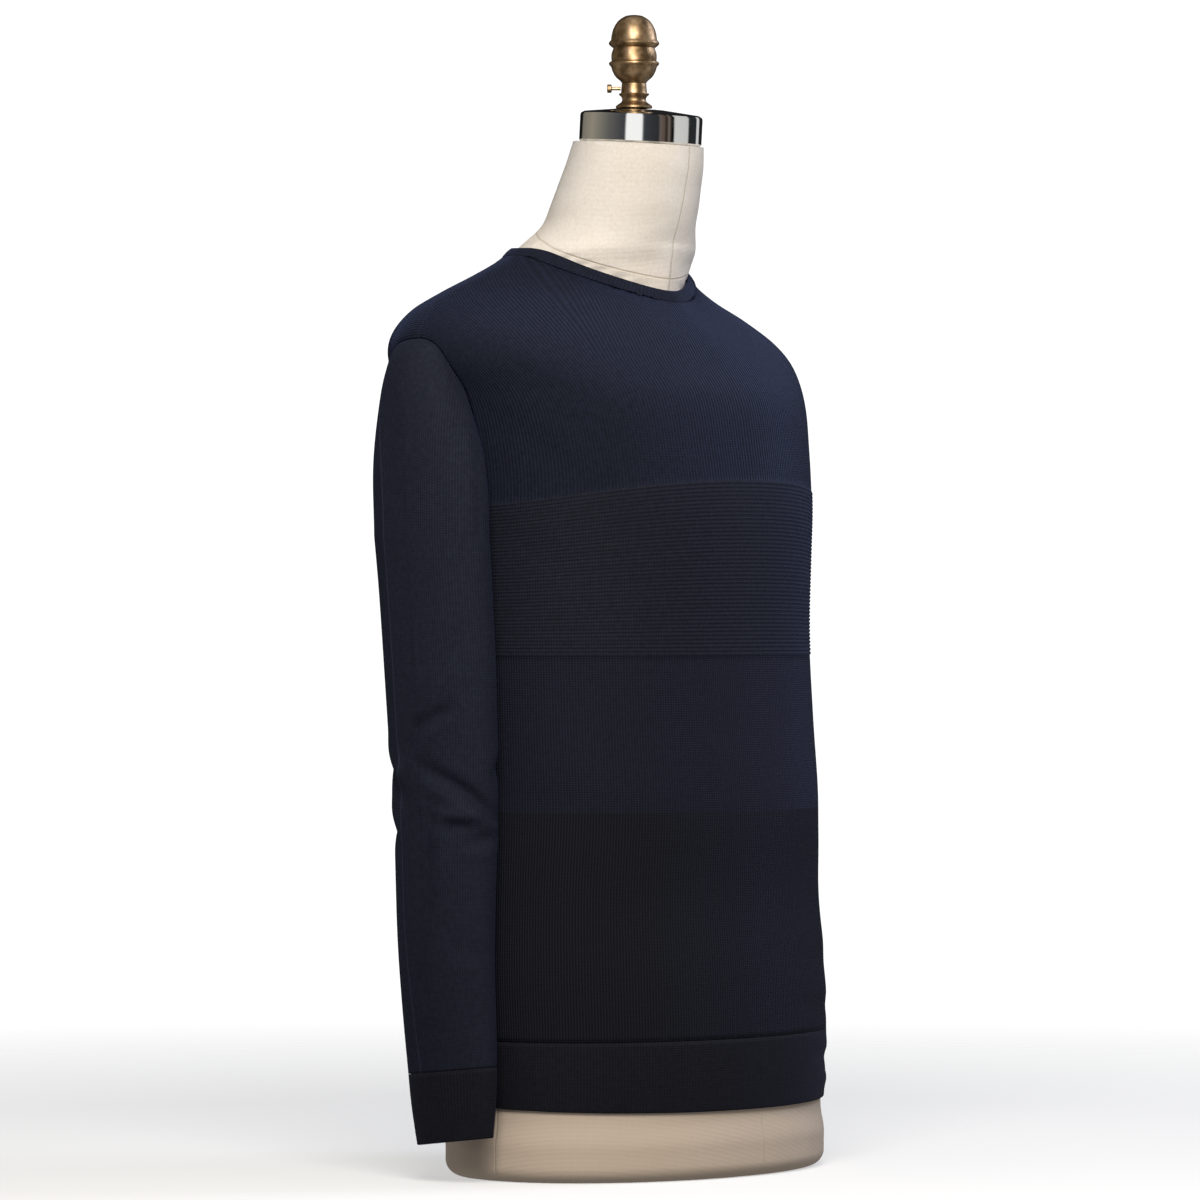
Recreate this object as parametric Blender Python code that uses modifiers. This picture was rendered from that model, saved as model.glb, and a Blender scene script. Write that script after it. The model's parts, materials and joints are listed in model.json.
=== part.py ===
"""Crewneck sweater on a limbless dress form.

Metres, +Z up. The form stands on z = 0 and faces -Y, so the wearer's right is -X.
The cloth is a thin wall that follows one table of body sections. The form inside it is the same
surface drawn in by the wall and an ease, so the two never meet.
"""
import math
from collections import namedtuple

import bmesh
import bpy
from mathutils import Vector

# Cloth
WALL = 0.0018
SEAM_GAP = 0.0003
HEM_SEAM_HEIGHT = 0.110
HEM_EDGE_SIDE = 0.0575
HEM_EDGE_DIP = 0.0040
PANEL_COLUMNS = 16
LOWER_ROWS = 6
HEM_OUTER_SHARES = [0, 0.06, 0.3, 0.6, 0.94, 1]
HEM_INNER_SHARES = [0, 0.5, 1]

# Chest band of horizontal ridges
BAND_LOW = 0.4105
BAND_TOP_SIDE = 0.5290
BAND_TOP_BOW = 0.0200
BAND_BOW_POWER = 1.5
BAND_RIDGES = 44
BAND_INNER_ROWS = 3
RIDGE_RELIEF = 0.0007

# Armhole and shoulder
SHOULDER_POINT = 0.6590
SHOULDER_COLUMNS = 3
SHOULDER_SHARE = SHOULDER_COLUMNS / (PANEL_COLUMNS / 2)
SHOULDER_CURVE = 0.85
ARMHOLE_ROWS = 12
ARMHOLE_FRONT_REACH = 0.0255
ARMHOLE_BACK_REACH = 0.0520
ARMHOLE_SWEEP = 0.8
ARMHOLE_TOP_POWER = 10

# Neckline heights on the seam to the panels, and on the open edge of the neckband
NECK_SEAM_SIDE = 0.7280
NECK_SEAM_FRONT = 0.6895
NECK_SEAM_BACK = 0.7265
NECK_EDGE_SIDE = 0.7345
NECK_EDGE_FRONT = 0.6995
NECK_EDGE_BACK = 0.7395
NECK_CURVE = 1.6
NECKBAND_PROUD = 0.0004

# Sleeve
CAP_RINGS = 8
CAP_START_GAP = 0.0011
CAP_SPREAD_SIDE = 0.034
CAP_SPREAD_ROUND = 0.038
CAP_BACK_SHARE = 0.6
CAP_LEAVE_X = 1.2
CAP_LEAVE_Y = 2.0
CAP_LEAVE_Z = 0.25
CAP_ARRIVE = 1.1
SLEEVE_RINGS = 20
SLEEVE_FLATNESS = 0.6
CUFF_SEAM_DROP = 0.0878
CUFF_EDGE_DROP = 0.0325
SLEEVE_HANG_TOP = 0.5050
CREASE_ANGLE = math.radians(200.0)
CREASE_WIDTH = math.radians(17.0)
CREASE_RELIEF = 0.0030
CREASE_LOW = 0.10
CREASE_FADE = 0.10
FOLD_RADIUS = 0.045
FOLD_END_FADE = 0.15

# Dress form
FORM_STEPS = 2 * PANEL_COLUMNS
HIP_HEIGHT = 0.040
BASE_TOP = 0.030
BASE_FLARE = 0.0030
BASE_EDGE_RADIUS = 0.012
TORSO_LEVELS = [
    0.048, 0.110, 0.160, 0.220, 0.290, 0.360, 0.430, 0.490, 0.530, 0.565,
    0.600, 0.630, 0.650, 0.665, 0.678, 0.690, 0.700, 0.710, 0.720, 0.730, 0.740,
]
NECK_TILT = math.radians(3.6)
CAP_RADIUS = 0.0490
CAP_HEIGHT = 0.0243
CAP_EDGE = 0.0015
CAP_CROWN = 0.0032
CAP_CROWN_RADIUS = 0.018
CAP_CENTRE_Y = -0.0032
NECK_TOP = 0.8190
FINIAL_Y = 0.0030
FINIAL_LIFT = 0.0048
SCREW_HEIGHT = 0.0156
SCREW_DIRECTION = Vector((-0.617, 0.787, 0))
COLLAR_RADIUS = 0.0104
TURNED_STEPS = 18
THREAD_RADIUS = 0.0014

# Steps of turn and height from which the surface's normal is taken
TURN_STEP = 0.02
HEIGHT_STEP = 0.0015
SHARP_EDGE = math.radians(50)

Section = namedtuple("Section", "z half_width front back centre_y front_square back_square ease")
BODY_SECTIONS = [
    Section(0.040, 0.1800, 0.1265, 0.1260, 0.0000, 2.05, 2.10, 0.0006),
    Section(0.110, 0.1825, 0.1290, 0.1280, 0.0000, 2.05, 2.10, 0.0006),
    Section(0.160, 0.1825, 0.1305, 0.1255, 0.0024, 2.05, 2.10, 0.0030),
    Section(0.220, 0.1780, 0.1290, 0.1195, 0.0052, 2.05, 2.15, 0.0120),
    Section(0.290, 0.1735, 0.1350, 0.1135, 0.0086, 2.10, 2.20, 0.0220),
    Section(0.360, 0.1715, 0.1335, 0.1110, 0.0119, 2.10, 2.20, 0.0180),
    Section(0.430, 0.1700, 0.1335, 0.1120, 0.0152, 2.10, 2.25, 0.0080),
    Section(0.490, 0.1720, 0.1360, 0.1140, 0.0181, 2.15, 2.30, 0.0020),
    Section(0.530, 0.1745, 0.1365, 0.1170, 0.0200, 2.20, 2.35, 0.0018),
    Section(0.575, 0.1800, 0.1395, 0.1160, 0.0290, 2.25, 2.40, 0.0042),
    Section(0.615, 0.1910, 0.1405, 0.1095, 0.0390, 2.20, 2.45, 0.0050),
    Section(0.643, 0.2085, 0.1300, 0.1005, 0.0480, 2.05, 2.40, 0.0075),
    Section(0.663, 0.2100, 0.1185, 0.0905, 0.0520, 1.80, 2.30, 0.0075),
    Section(0.6825, 0.1930, 0.1040, 0.0760, 0.0550, 1.52, 2.15, 0.0048),
    Section(0.6975, 0.1640, 0.0930, 0.0610, 0.0550, 1.32, 2.05, 0.0032),
    Section(0.7125, 0.1270, 0.0870, 0.0510, 0.0530, 1.30, 2.00, 0.0024),
    Section(0.7250, 0.0995, 0.0830, 0.0460, 0.0500, 1.50, 2.00, 0.0022),
    Section(0.7400, 0.0790, 0.0810, 0.0450, 0.0450, 2.10, 2.00, 0.0020),
]

Neck = namedtuple("Neck", "z half_width half_depth centre_y tilt_share")
NECK_SECTIONS = [
    Neck(0.7545, 0.0640, 0.0600, 0.0183, 0.1),
    Neck(0.7705, 0.0612, 0.0580, 0.0122, 0.4),
    Neck(0.7865, 0.0585, 0.0560, 0.0071, 0.7),
    Neck(0.8025, 0.0560, 0.0540, 0.0020, 1.0),
    Neck(NECK_TOP, 0.0535, 0.0515, -0.0015, 1.0),
]

Sleeve = namedtuple("Sleeve", "z centre_x centre_y half_x half_y lift")
SLEEVE_SECTIONS = [
    Sleeve(0.0300, 0.2070, 0.0185, 0.0150, 0.0360, 0.0042),
    Sleeve(0.0900, 0.2070, 0.0215, 0.0195, 0.0418, 0.0042),
    Sleeve(0.1800, 0.2080, 0.0265, 0.0262, 0.0436, 0.0020),
    Sleeve(0.2800, 0.2060, 0.0290, 0.0302, 0.0460, 0.0),
    Sleeve(0.3760, 0.2050, 0.0340, 0.0312, 0.0497, 0.0),
    Sleeve(0.4600, 0.2060, 0.0390, 0.0319, 0.0510, 0.0),
    Sleeve(0.5050, 0.2080, 0.0415, 0.0318, 0.0520, 0.0),
]

# A fold runs straight between two places on the sleeve. Angles are in degrees round the sleeve:
# 0 towards the body, 90 to the front, 180 outwards and 270 to the back.
Fold = namedtuple("Fold", "start_angle start_z end_angle end_z width relief")
SLEEVE_FOLDS = [
    Fold(172, 0.335, 118, 0.372, 0.0085, -0.0035),
    Fold(150, 0.322, 78, 0.286, 0.0085, -0.0040),
    Fold(104, 0.286, 128, 0.268, 0.0080, 0.0040),
    Fold(128, 0.268, 140, 0.218, 0.0080, 0.0035),
    Fold(122, 0.258, 76, 0.284, 0.0080, -0.0030),
    Fold(200, 0.300, 262, 0.336, 0.0095, -0.0032),
    Fold(214, 0.262, 268, 0.290, 0.0095, -0.0032),
    Fold(118, 0.530, 92, 0.500, 0.0100, -0.0020),
]

# Height above the finial's foot and radius, down the knob and down the stem
KNOB_PROFILE = [
    (0.0744, 0.0032), (0.0720, 0.0100), (0.0664, 0.0152), (0.0584, 0.0180), (0.0545, 0.0185),
    (0.0528, 0.0200), (0.0508, 0.0200), (0.0492, 0.0185), (0.0480, 0.0166), (0.0424, 0.0180),
    (0.0376, 0.0180), (0.0368, 0.0200), (0.0348, 0.0200), (0.0328, 0.0184), (0.0264, 0.0160),
    (0.0224, 0.0120), (0.0200, 0.0098),
]
STEM_PROFILE = [
    (0.0197, 0.0098), (0.0120, 0.0104), (0.0112, 0.0122), (0.0075, 0.0096), (0.0050, 0.0100),
    (0.0034, 0.0120), (0.0016, 0.0146), (0.0, 0.0146),
]
# The screw's head and shank, outwards from the collar
SCREW_PROFILE = [
    (0.0110, 0.0027), (0.0105, 0.0034), (0.0078, 0.0034), (0.0073, 0.0027),
    (0.0072, THREAD_RADIUS), (0.0, THREAD_RADIUS),
]


def table_at(table, z):
    """Read a table of sections at any height, along a smooth curve through its rows."""
    z = min(max(z, table[0].z), table[-1].z)
    row = 0
    while row < len(table) - 2 and z > table[row + 1].z:
        row += 1
    low, high = table[row], table[row + 1]
    before = table[max(row - 1, 0)]
    after = table[min(row + 2, len(table) - 1)]
    span = high.z - low.z
    part = (z - low.z) / span
    values = []
    for index in range(len(low)):
        rise_low = (high[index] - before[index]) / (high.z - before.z) * span
        rise_high = (after[index] - low[index]) / (after.z - low.z) * span
        smooth = (2 * part ** 3 - 3 * part ** 2 + 1) * low[index]
        smooth += (part ** 3 - 2 * part ** 2 + part) * rise_low
        smooth += (3 * part ** 2 - 2 * part ** 3) * high[index]
        smooth += (part ** 3 - part ** 2) * rise_high
        values.append(smooth)
    return type(low)(*values)


def signed_power(value, power):
    return math.copysign(abs(value) ** power, value)


def body_point(turn, z):
    """A point of the cloth's outside. Turn is 0 at the right side, pi / 2 in front, pi at the left."""
    section = table_at(BODY_SECTIONS, z)
    in_front = math.sin(turn) >= 0
    square = section.front_square if in_front else section.back_square
    depth = section.front if in_front else section.back
    x = -section.half_width * signed_power(math.cos(turn), 2 / square)
    y = section.centre_y - depth * signed_power(math.sin(turn), 2 / square)
    return Vector((x, y, z))


def body_normal(turn, z):
    across = body_point(turn + TURN_STEP, z) - body_point(turn - TURN_STEP, z)
    along = body_point(turn, z + HEIGHT_STEP) - body_point(turn, z - HEIGHT_STEP)
    normal = across.cross(along).normalized()
    if abs(math.sin(turn)) < 1e-6:
        normal.y = 0.0
        normal.normalize()
    return normal


def neck_height(turn, side, front, back):
    """Height of a line round the neck, highest at the shoulders and lowest in front."""
    share = abs(math.cos(turn)) ** NECK_CURVE
    middle = front if math.sin(turn) >= 0 else back
    return middle + (side - middle) * share


def band_top(turn):
    return BAND_TOP_SIDE + BAND_TOP_BOW * abs(math.sin(turn)) ** BAND_BOW_POWER


def shoulder_top(share):
    """Turn and height of a panel's top edge, from the shoulder point over the seam to the middle."""
    if share <= SHOULDER_SHARE:
        rise = share / SHOULDER_SHARE
        return 0.0, SHOULDER_POINT + (NECK_SEAM_SIDE - SHOULDER_POINT) * rise ** SHOULDER_CURVE
    turn = math.pi / 2 * (share - SHOULDER_SHARE) / (1 - SHOULDER_SHARE)
    return turn, None


def armhole_turn(is_back, rise):
    """How far round the body a panel's armhole edge lies, from the underarm at 0 to the top at 1."""
    reach = ARMHOLE_BACK_REACH if is_back else ARMHOLE_FRONT_REACH
    reach *= rise ** ARMHOLE_SWEEP * math.sqrt(1 - rise ** ARMHOLE_TOP_POWER)
    section = table_at(BODY_SECTIONS, BAND_TOP_SIDE + (SHOULDER_POINT - BAND_TOP_SIDE) * rise)
    depth = section.back if is_back else section.front
    square = section.back_square if is_back else section.front_square
    return math.asin((reach / depth) ** (square / 2))


def panel_place(is_back, across, up):
    """Turn and height on a panel: across runs 0 to 1 from side to side.

    Up runs 0 to 1 over the lower body, 1 to 2 over the chest band and 2 to 3 over the yoke.
    """
    lower_turn = math.pi * across
    if up <= 1:
        turn = lower_turn
        z = HEM_SEAM_HEIGHT + (BAND_LOW - HEM_SEAM_HEIGHT) * up
    elif up <= 2:
        turn = lower_turn
        z = BAND_LOW + (band_top(turn) - BAND_LOW) * (up - 1)
    else:
        rise = up - 2
        half = min(across, 1 - across) * 2
        top_turn, top_z = shoulder_top(half)
        if top_z is None:
            seam_back = NECK_SEAM_BACK if is_back else NECK_SEAM_FRONT
            top_z = neck_height(top_turn, NECK_SEAM_SIDE, seam_back, seam_back)
        edge = armhole_turn(is_back, rise)
        inner = (1 - rise) * math.pi / 2 * half + rise * top_turn
        turn = edge + (1 - edge / (math.pi / 2)) * inner
        start = band_top(math.pi / 2 * half)
        z = start + (top_z - start) * rise
        if across > 0.5:
            turn = math.pi - turn
    return (-turn if is_back else turn), z


def shift_from_seam(point, is_back):
    half_gap = SEAM_GAP / 2
    return point + Vector((0, half_gap if is_back else -half_gap, 0))


def panel_points(is_back, ups, depth, ridged):
    """Rows of points of a panel, moved out by depth, with the band's ridges where asked.

    The ridges flatten into the side seams.
    """
    rows = []
    for up in ups:
        row = []
        for column in range(PANEL_COLUMNS + 1):
            turn, z = panel_place(is_back, column / PANEL_COLUMNS, up)
            relief = 0.0
            if ridged and 1 < up < 2 and 0 < column < PANEL_COLUMNS:
                relief = RIDGE_RELIEF * (round((up - 1) * BAND_RIDGES * 2) % 2)
            point = body_point(turn, z) + body_normal(turn, z) * (depth + relief)
            row.append(shift_from_seam(point, is_back))
        rows.append(row)
    return rows


def steps_between(low, high, count):
    return [low + (high - low) * index / count for index in range(count)]


def add_grid(work, rows, closed, inside):
    """Faces over rows of points. An inside surface has its faces turned the other way."""
    verts = [[work.verts.new(point) for point in row] for row in rows]
    count = len(rows[0])
    last = count if closed else count - 1
    for low, high in zip(verts[:-1], verts[1:]):
        for index in range(last):
            after = (index + 1) % count
            corners = [low[index], low[after], high[after], high[index]]
            work.faces.new(corners[::-1] if inside else corners)
    return verts


def add_strip(work, first, second, closed):
    """Triangles between two lines of points whose counts may differ, by the shorter diagonal."""
    ends = 1 if closed else 0
    a_count, b_count = len(first) - 1 + ends, len(second) - 1 + ends
    a = b = 0
    while a < a_count or b < b_count:
        a_now, b_now = first[a % len(first)], second[b % len(second)]
        a_next, b_next = first[(a + 1) % len(first)], second[(b + 1) % len(second)]
        a_nearer = (a_next.co - b_now.co).length <= (b_next.co - a_now.co).length
        if b == b_count or (a < a_count and a_nearer):
            work.faces.new((a_now, b_now, a_next))
            a += 1
        else:
            work.faces.new((a_now, b_now, b_next))
            b += 1


def edge_lines(verts):
    """The four borders of a grid, in order round it."""
    bottom = verts[0]
    right = [row[-1] for row in verts]
    top = verts[-1][::-1]
    left = [row[0] for row in verts][::-1]
    return bottom, right, top, left


def finish_mesh(work, name, material, collection):
    bmesh.ops.triangulate(work, faces=work.faces[:])
    bmesh.ops.recalc_face_normals(work, faces=work.faces[:])
    mesh = bpy.data.meshes.new(name)
    work.to_mesh(mesh)
    work.free()
    piece = bpy.data.objects.new(name, mesh)
    mesh.materials.append(material)
    mesh.shade_smooth()
    mesh.set_sharp_from_angle(angle=SHARP_EDGE)
    collection.objects.link(piece)
    return piece


def open_wall(name, outer_rows, inner_rows, material, collection):
    """A panel's wall: an outer and an inner surface joined round their borders."""
    work = bmesh.new()
    outer = add_grid(work, outer_rows, closed=False, inside=False)
    inner = add_grid(work, inner_rows, closed=False, inside=True)
    for outer_line, inner_line in zip(edge_lines(outer), edge_lines(inner)):
        add_strip(work, outer_line, inner_line, closed=False)
    return finish_mesh(work, name, material, collection)


def tube_wall(name, outer_rows, inner_rows, material, collection):
    """A sleeve's or band's wall, open at both ends."""
    work = bmesh.new()
    outer = add_grid(work, outer_rows, closed=True, inside=False)
    inner = add_grid(work, inner_rows, closed=True, inside=True)
    add_strip(work, outer[0], inner[0], closed=True)
    add_strip(work, outer[-1], inner[-1], closed=True)
    return finish_mesh(work, name, material, collection)


def make_panel(name, is_back, material, collection):
    lower = steps_between(0, 1, LOWER_ROWS)
    yoke = steps_between(2, 3, ARMHOLE_ROWS) + [3]
    outer_ups = lower + steps_between(1, 2, BAND_RIDGES * 2) + yoke
    inner_ups = lower + steps_between(1, 2, BAND_INNER_ROWS) + yoke
    outer = panel_points(is_back, outer_ups, 0.0, ridged=True)
    inner = panel_points(is_back, inner_ups, -WALL, ridged=False)
    return open_wall(name, outer, inner, material, collection)


def hem_edge(turn):
    return HEM_EDGE_SIDE - HEM_EDGE_DIP * abs(math.sin(turn))


def make_hem(name, is_back, material, collection):
    """One panel's hem band, from its open edge up to its seam."""
    def rows(shares, depth):
        points = []
        for share in shares:
            row = []
            for column in range(PANEL_COLUMNS + 1):
                turn = math.pi * column / PANEL_COLUMNS * (-1 if is_back else 1)
                low = hem_edge(turn)
                z = low + (HEM_SEAM_HEIGHT - SEAM_GAP - low) * share
                point = body_point(turn, z) + body_normal(turn, z) * depth
                row.append(shift_from_seam(point, is_back))
            points.append(row)
        return points

    outer = rows(HEM_OUTER_SHARES, 0.0)
    inner = rows(HEM_INNER_SHARES, -WALL)
    return open_wall(name, outer, inner, material, collection)


def make_neckband(material, collection):
    """The ring round the neck, a little proud of the panels."""
    count = 2 * PANEL_COLUMNS - 4 * SHOULDER_COLUMNS

    def rows(shares, depth):
        points = []
        for share in shares:
            row = []
            for index in range(count):
                turn = 2 * math.pi * index / count
                low = neck_height(turn, NECK_SEAM_SIDE, NECK_SEAM_FRONT, NECK_SEAM_BACK) + SEAM_GAP
                high = neck_height(turn, NECK_EDGE_SIDE, NECK_EDGE_FRONT, NECK_EDGE_BACK)
                z = low + (high - low) * share
                row.append(body_point(turn, z) + body_normal(turn, z) * depth)
            points.append(row)
        return points

    outer = rows([0, 0.5, 1], NECKBAND_PROUD)
    inner = rows([0, 1], -WALL)
    return tube_wall("neckband", outer, inner, material, collection)


def armhole_line():
    """The right armhole from the underarm up the front, over the top and down the back."""
    line = []
    for is_back in (False, True):
        rises = range(ARMHOLE_ROWS + 1) if not is_back else range(ARMHOLE_ROWS - 1, 0, -1)
        for rise in rises:
            turn, z = panel_place(is_back, 0.0, 2 + rise / ARMHOLE_ROWS)
            line.append(shift_from_seam(body_point(turn, z), is_back))
    return line


def sleeve_ring(z, angle):
    """A point of the hanging sleeve's outside. The lift tips the ring up at the front."""
    section = table_at(SLEEVE_SECTIONS, z)
    x = -section.centre_x + section.half_x * math.cos(angle)
    y = section.centre_y - section.half_y * math.sin(angle)
    return Vector((x, y, z + section.lift * math.sin(angle)))


def sleeve_outward(angle):
    return Vector((math.cos(angle) / SLEEVE_FLATNESS, -math.sin(angle), 0)).normalized()


def fold_relief(place, z):
    """How far the folds and the pressed crease move the sleeve's outside, at an angle and height."""
    turned = (place - CREASE_ANGLE + math.pi) % (2 * math.pi) - math.pi
    strength = min(max((z - CREASE_LOW) / CREASE_FADE, 0), 1)
    relief = CREASE_RELIEF * math.exp(-abs(turned) / CREASE_WIDTH) * strength
    for fold in SLEEVE_FOLDS:
        start = Vector((math.radians(fold.start_angle) * FOLD_RADIUS, fold.start_z))
        end = Vector((math.radians(fold.end_angle) * FOLD_RADIUS, fold.end_z))
        here = Vector((place * FOLD_RADIUS, z))
        along = end - start
        share = min(max((here - start).dot(along) / along.length_squared, 0), 1)
        distance = (here - start - along * share).length
        fade = math.sin(math.pi * (FOLD_END_FADE + (1 - 2 * FOLD_END_FADE) * share))
        relief += fold.relief * fade * math.exp(-(distance / fold.width) ** 2)
    return relief


def sleeve_place(start, share_round, level):
    """A point of the sleeve's outside: up to level 1 over the cap, then down the hanging part."""
    angle = 2 * math.pi * share_round
    z = SLEEVE_HANG_TOP
    if level > 1:
        z += (CUFF_SEAM_DROP - SLEEVE_HANG_TOP) * (level - 1)
    outward = sleeve_outward(angle)
    hanging = sleeve_ring(z, angle) + outward * fold_relief(angle, z)
    if level > 1:
        return hanging
    path = hanging - start
    leave = Vector((path.x * CAP_LEAVE_X, path.y * CAP_LEAVE_Y, path.z * CAP_LEAVE_Z))
    leave.x -= CAP_SPREAD_SIDE
    leave += outward * CAP_SPREAD_ROUND * (1 - CAP_BACK_SHARE * math.sin(angle))
    begin = start + leave.normalized() * CAP_START_GAP
    arrive = Vector((0, 0, -path.length * CAP_ARRIVE))
    place = (2 * level ** 3 - 3 * level ** 2 + 1) * begin
    place += (level ** 3 - 2 * level ** 2 + level) * leave
    place += (3 * level ** 2 - 2 * level ** 3) * hanging
    place += (level ** 3 - level ** 2) * arrive
    return place


def inset_rows(rows, depth):
    """Rings moved in by a depth along the surface's own normals."""
    moved = []
    for index, row in enumerate(rows):
        before, after = rows[max(index - 1, 0)], rows[min(index + 1, len(rows) - 1)]
        new_row = []
        for place, point in enumerate(row):
            across = row[(place + 1) % len(row)] - row[place - 1]
            normal = across.cross(after[place] - before[place]).normalized()
            new_row.append(point - normal * depth)
        moved.append(new_row)
    return moved


def mirror_rows(rows):
    return [[Vector((-point.x, point.y, point.z)) for point in row] for row in rows]


def make_sleeve(name, mirrored, material, collection):
    levels = steps_between(0, 1, CAP_RINGS) + steps_between(1, 2, SLEEVE_RINGS) + [2]
    line = armhole_line()
    outer = []
    for level in levels:
        outer.append([sleeve_place(start, index / len(line), level)
                      for index, start in enumerate(line)])
    inner = inset_rows(outer, WALL)
    inner = inner[:CAP_RINGS] + inner[CAP_RINGS::2]
    if mirrored:
        outer, inner = mirror_rows(outer), mirror_rows(inner)
    return tube_wall(name, outer, inner, material, collection)


def make_cuff(name, mirrored, material, collection):
    count = 2 * ARMHOLE_ROWS
    top = CUFF_SEAM_DROP - SEAM_GAP

    def rows(levels, depth):
        points = []
        for z in levels:
            row = []
            for index in range(count):
                angle = 2 * math.pi * index / count
                row.append(sleeve_ring(z, angle) + sleeve_outward(angle) * depth)
            points.append(row)
        return mirror_rows(points) if mirrored else points

    outer = rows([CUFF_EDGE_DROP, (CUFF_EDGE_DROP + top) / 2, top], 0.0)
    inner = rows([CUFF_EDGE_DROP, top], -WALL)
    return tube_wall(name, outer, inner, material, collection)


def make_form(material, collection):
    """Torso and neck in one closed body: rings of the cloth's surface drawn in, then the neck."""
    rings = []
    turns = [2 * math.pi * index / FORM_STEPS for index in range(FORM_STEPS)]
    edge = BASE_EDGE_RADIUS
    round_corner = edge * (1 - math.sqrt(0.5))
    base_rows = [(0.0, edge), (round_corner, round_corner), (edge, 0.0), (BASE_TOP, 0.0)]
    for z, inset in base_rows:
        drawn_in = BASE_FLARE - WALL - table_at(BODY_SECTIONS, HIP_HEIGHT).ease - inset
        ring = []
        for turn in turns:
            point = body_point(turn, HIP_HEIGHT) + body_normal(turn, HIP_HEIGHT) * drawn_in
            ring.append(Vector((point.x, point.y, z)))
        rings.append(ring)
    for z in TORSO_LEVELS:
        drawn_in = -(WALL + table_at(BODY_SECTIONS, z).ease)
        rings.append([body_point(turn, z) + body_normal(turn, z) * drawn_in for turn in turns])
    for neck in NECK_SECTIONS:
        ring = []
        for turn in turns:
            x = -neck.half_width * math.cos(turn)
            y = -neck.half_depth * math.sin(turn)
            lift = y * math.tan(NECK_TILT) * neck.tilt_share
            ring.append(Vector((x, neck.centre_y + y, neck.z + lift)))
        rings.append(ring)
    work = bmesh.new()
    verts = add_grid(work, rings, closed=True, inside=False)
    work.faces.new(verts[0][::-1])
    work.faces.new(verts[-1])
    return finish_mesh(work, "form_body", material, collection)


def turned_piece(name, profile, place, material, collection):
    """A solid turned about Z from (height, radius) pairs, listed top to bottom."""
    mesh = bpy.data.meshes.new(name)
    points = [(0, 0, profile[0][0])]
    points += [(radius, 0, height) for height, radius in profile]
    points += [(0, 0, profile[-1][0])]
    mesh.from_pydata(points, [(index, index + 1) for index in range(len(points) - 1)], [])
    piece = bpy.data.objects.new(name, mesh)
    piece.location = place
    collection.objects.link(piece)
    screw = piece.modifiers.new("turn", "SCREW")
    screw.steps = screw.render_steps = TURNED_STEPS
    screw.use_merge_vertices = True
    screw.merge_threshold = 0.00001
    mesh.materials.append(material)
    return piece


def make_cap(material, collection):
    """The chrome cap, tipped forward with the top of the neck."""
    profile = [
        (CAP_HEIGHT + CAP_CROWN, CAP_CROWN_RADIUS),
        (CAP_HEIGHT, CAP_RADIUS - CAP_EDGE * 2),
        (CAP_HEIGHT - CAP_EDGE, CAP_RADIUS - CAP_EDGE / 3),
        (CAP_HEIGHT - CAP_EDGE * 2, CAP_RADIUS),
        (CAP_EDGE, CAP_RADIUS),
        (0.0, CAP_RADIUS - CAP_EDGE),
    ]
    place = (0, CAP_CENTRE_Y, NECK_TOP + SEAM_GAP)
    cap = turned_piece("neck_cap", profile, place, material, collection)
    cap.rotation_euler = (NECK_TILT, 0, 0)
    return cap


def make_finial(material, collection):
    """Stem with its flange, knob of two beads, and the screw that clamps the split collar."""
    base_z = NECK_TOP + CAP_HEIGHT + FINIAL_LIFT
    place = (0, FINIAL_Y, base_z)
    turned_piece("finial_base", STEM_PROFILE, place, material, collection)
    turned_piece("finial_knob", KNOB_PROFILE, place, material, collection)
    screw = turned_piece("finial_screw", SCREW_PROFILE, (0, 0, 0), material, collection)
    screw.rotation_mode = "QUATERNION"
    screw.rotation_quaternion = Vector((0, 0, 1)).rotation_difference(SCREW_DIRECTION)
    axis_foot = Vector((0, FINIAL_Y, base_z + SCREW_HEIGHT))
    screw.location = axis_foot + SCREW_DIRECTION * (COLLAR_RADIUS + SEAM_GAP)


def make_material(name, colour, roughness, metallic):
    material = bpy.data.materials.new(name)
    material.use_nodes = True
    shader = material.node_tree.nodes["Principled BSDF"]
    shader.inputs["Base Color"].default_value = (*colour, 1)
    shader.inputs["Roughness"].default_value = roughness
    shader.inputs["Metallic"].default_value = metallic
    return material


def main():
    for old in list(bpy.data.objects):
        bpy.data.objects.remove(old)
    collection = bpy.data.collections.new("crewneck_sweater_on_dress_form")
    bpy.context.scene.collection.children.link(collection)
    body_knit = make_material("navy_rib_knit", (0.010, 0.013, 0.024), 0.85, 0.0)
    sleeve_knit = make_material("navy_jersey", (0.012, 0.015, 0.028), 0.85, 0.0)
    trim_knit = make_material("navy_band_knit", (0.008, 0.010, 0.018), 0.85, 0.0)
    canvas = make_material("cream_canvas", (0.80, 0.72, 0.62), 0.9, 0.0)
    chrome = make_material("chrome", (0.75, 0.75, 0.75), 0.08, 1.0)
    brass = make_material("aged_brass", (0.36, 0.25, 0.12), 0.4, 1.0)
    make_panel("front", False, body_knit, collection)
    make_panel("back", True, body_knit, collection)
    make_hem("hem_front", False, trim_knit, collection)
    make_hem("hem_back", True, trim_knit, collection)
    make_neckband(trim_knit, collection)
    for side, mirrored in (("right", False), ("left", True)):
        make_sleeve("sleeve_" + side, mirrored, sleeve_knit, collection)
        make_cuff("cuff_" + side, mirrored, trim_knit, collection)
    make_form(canvas, collection)
    make_cap(chrome, collection)
    make_finial(brass, collection)


main()
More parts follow.
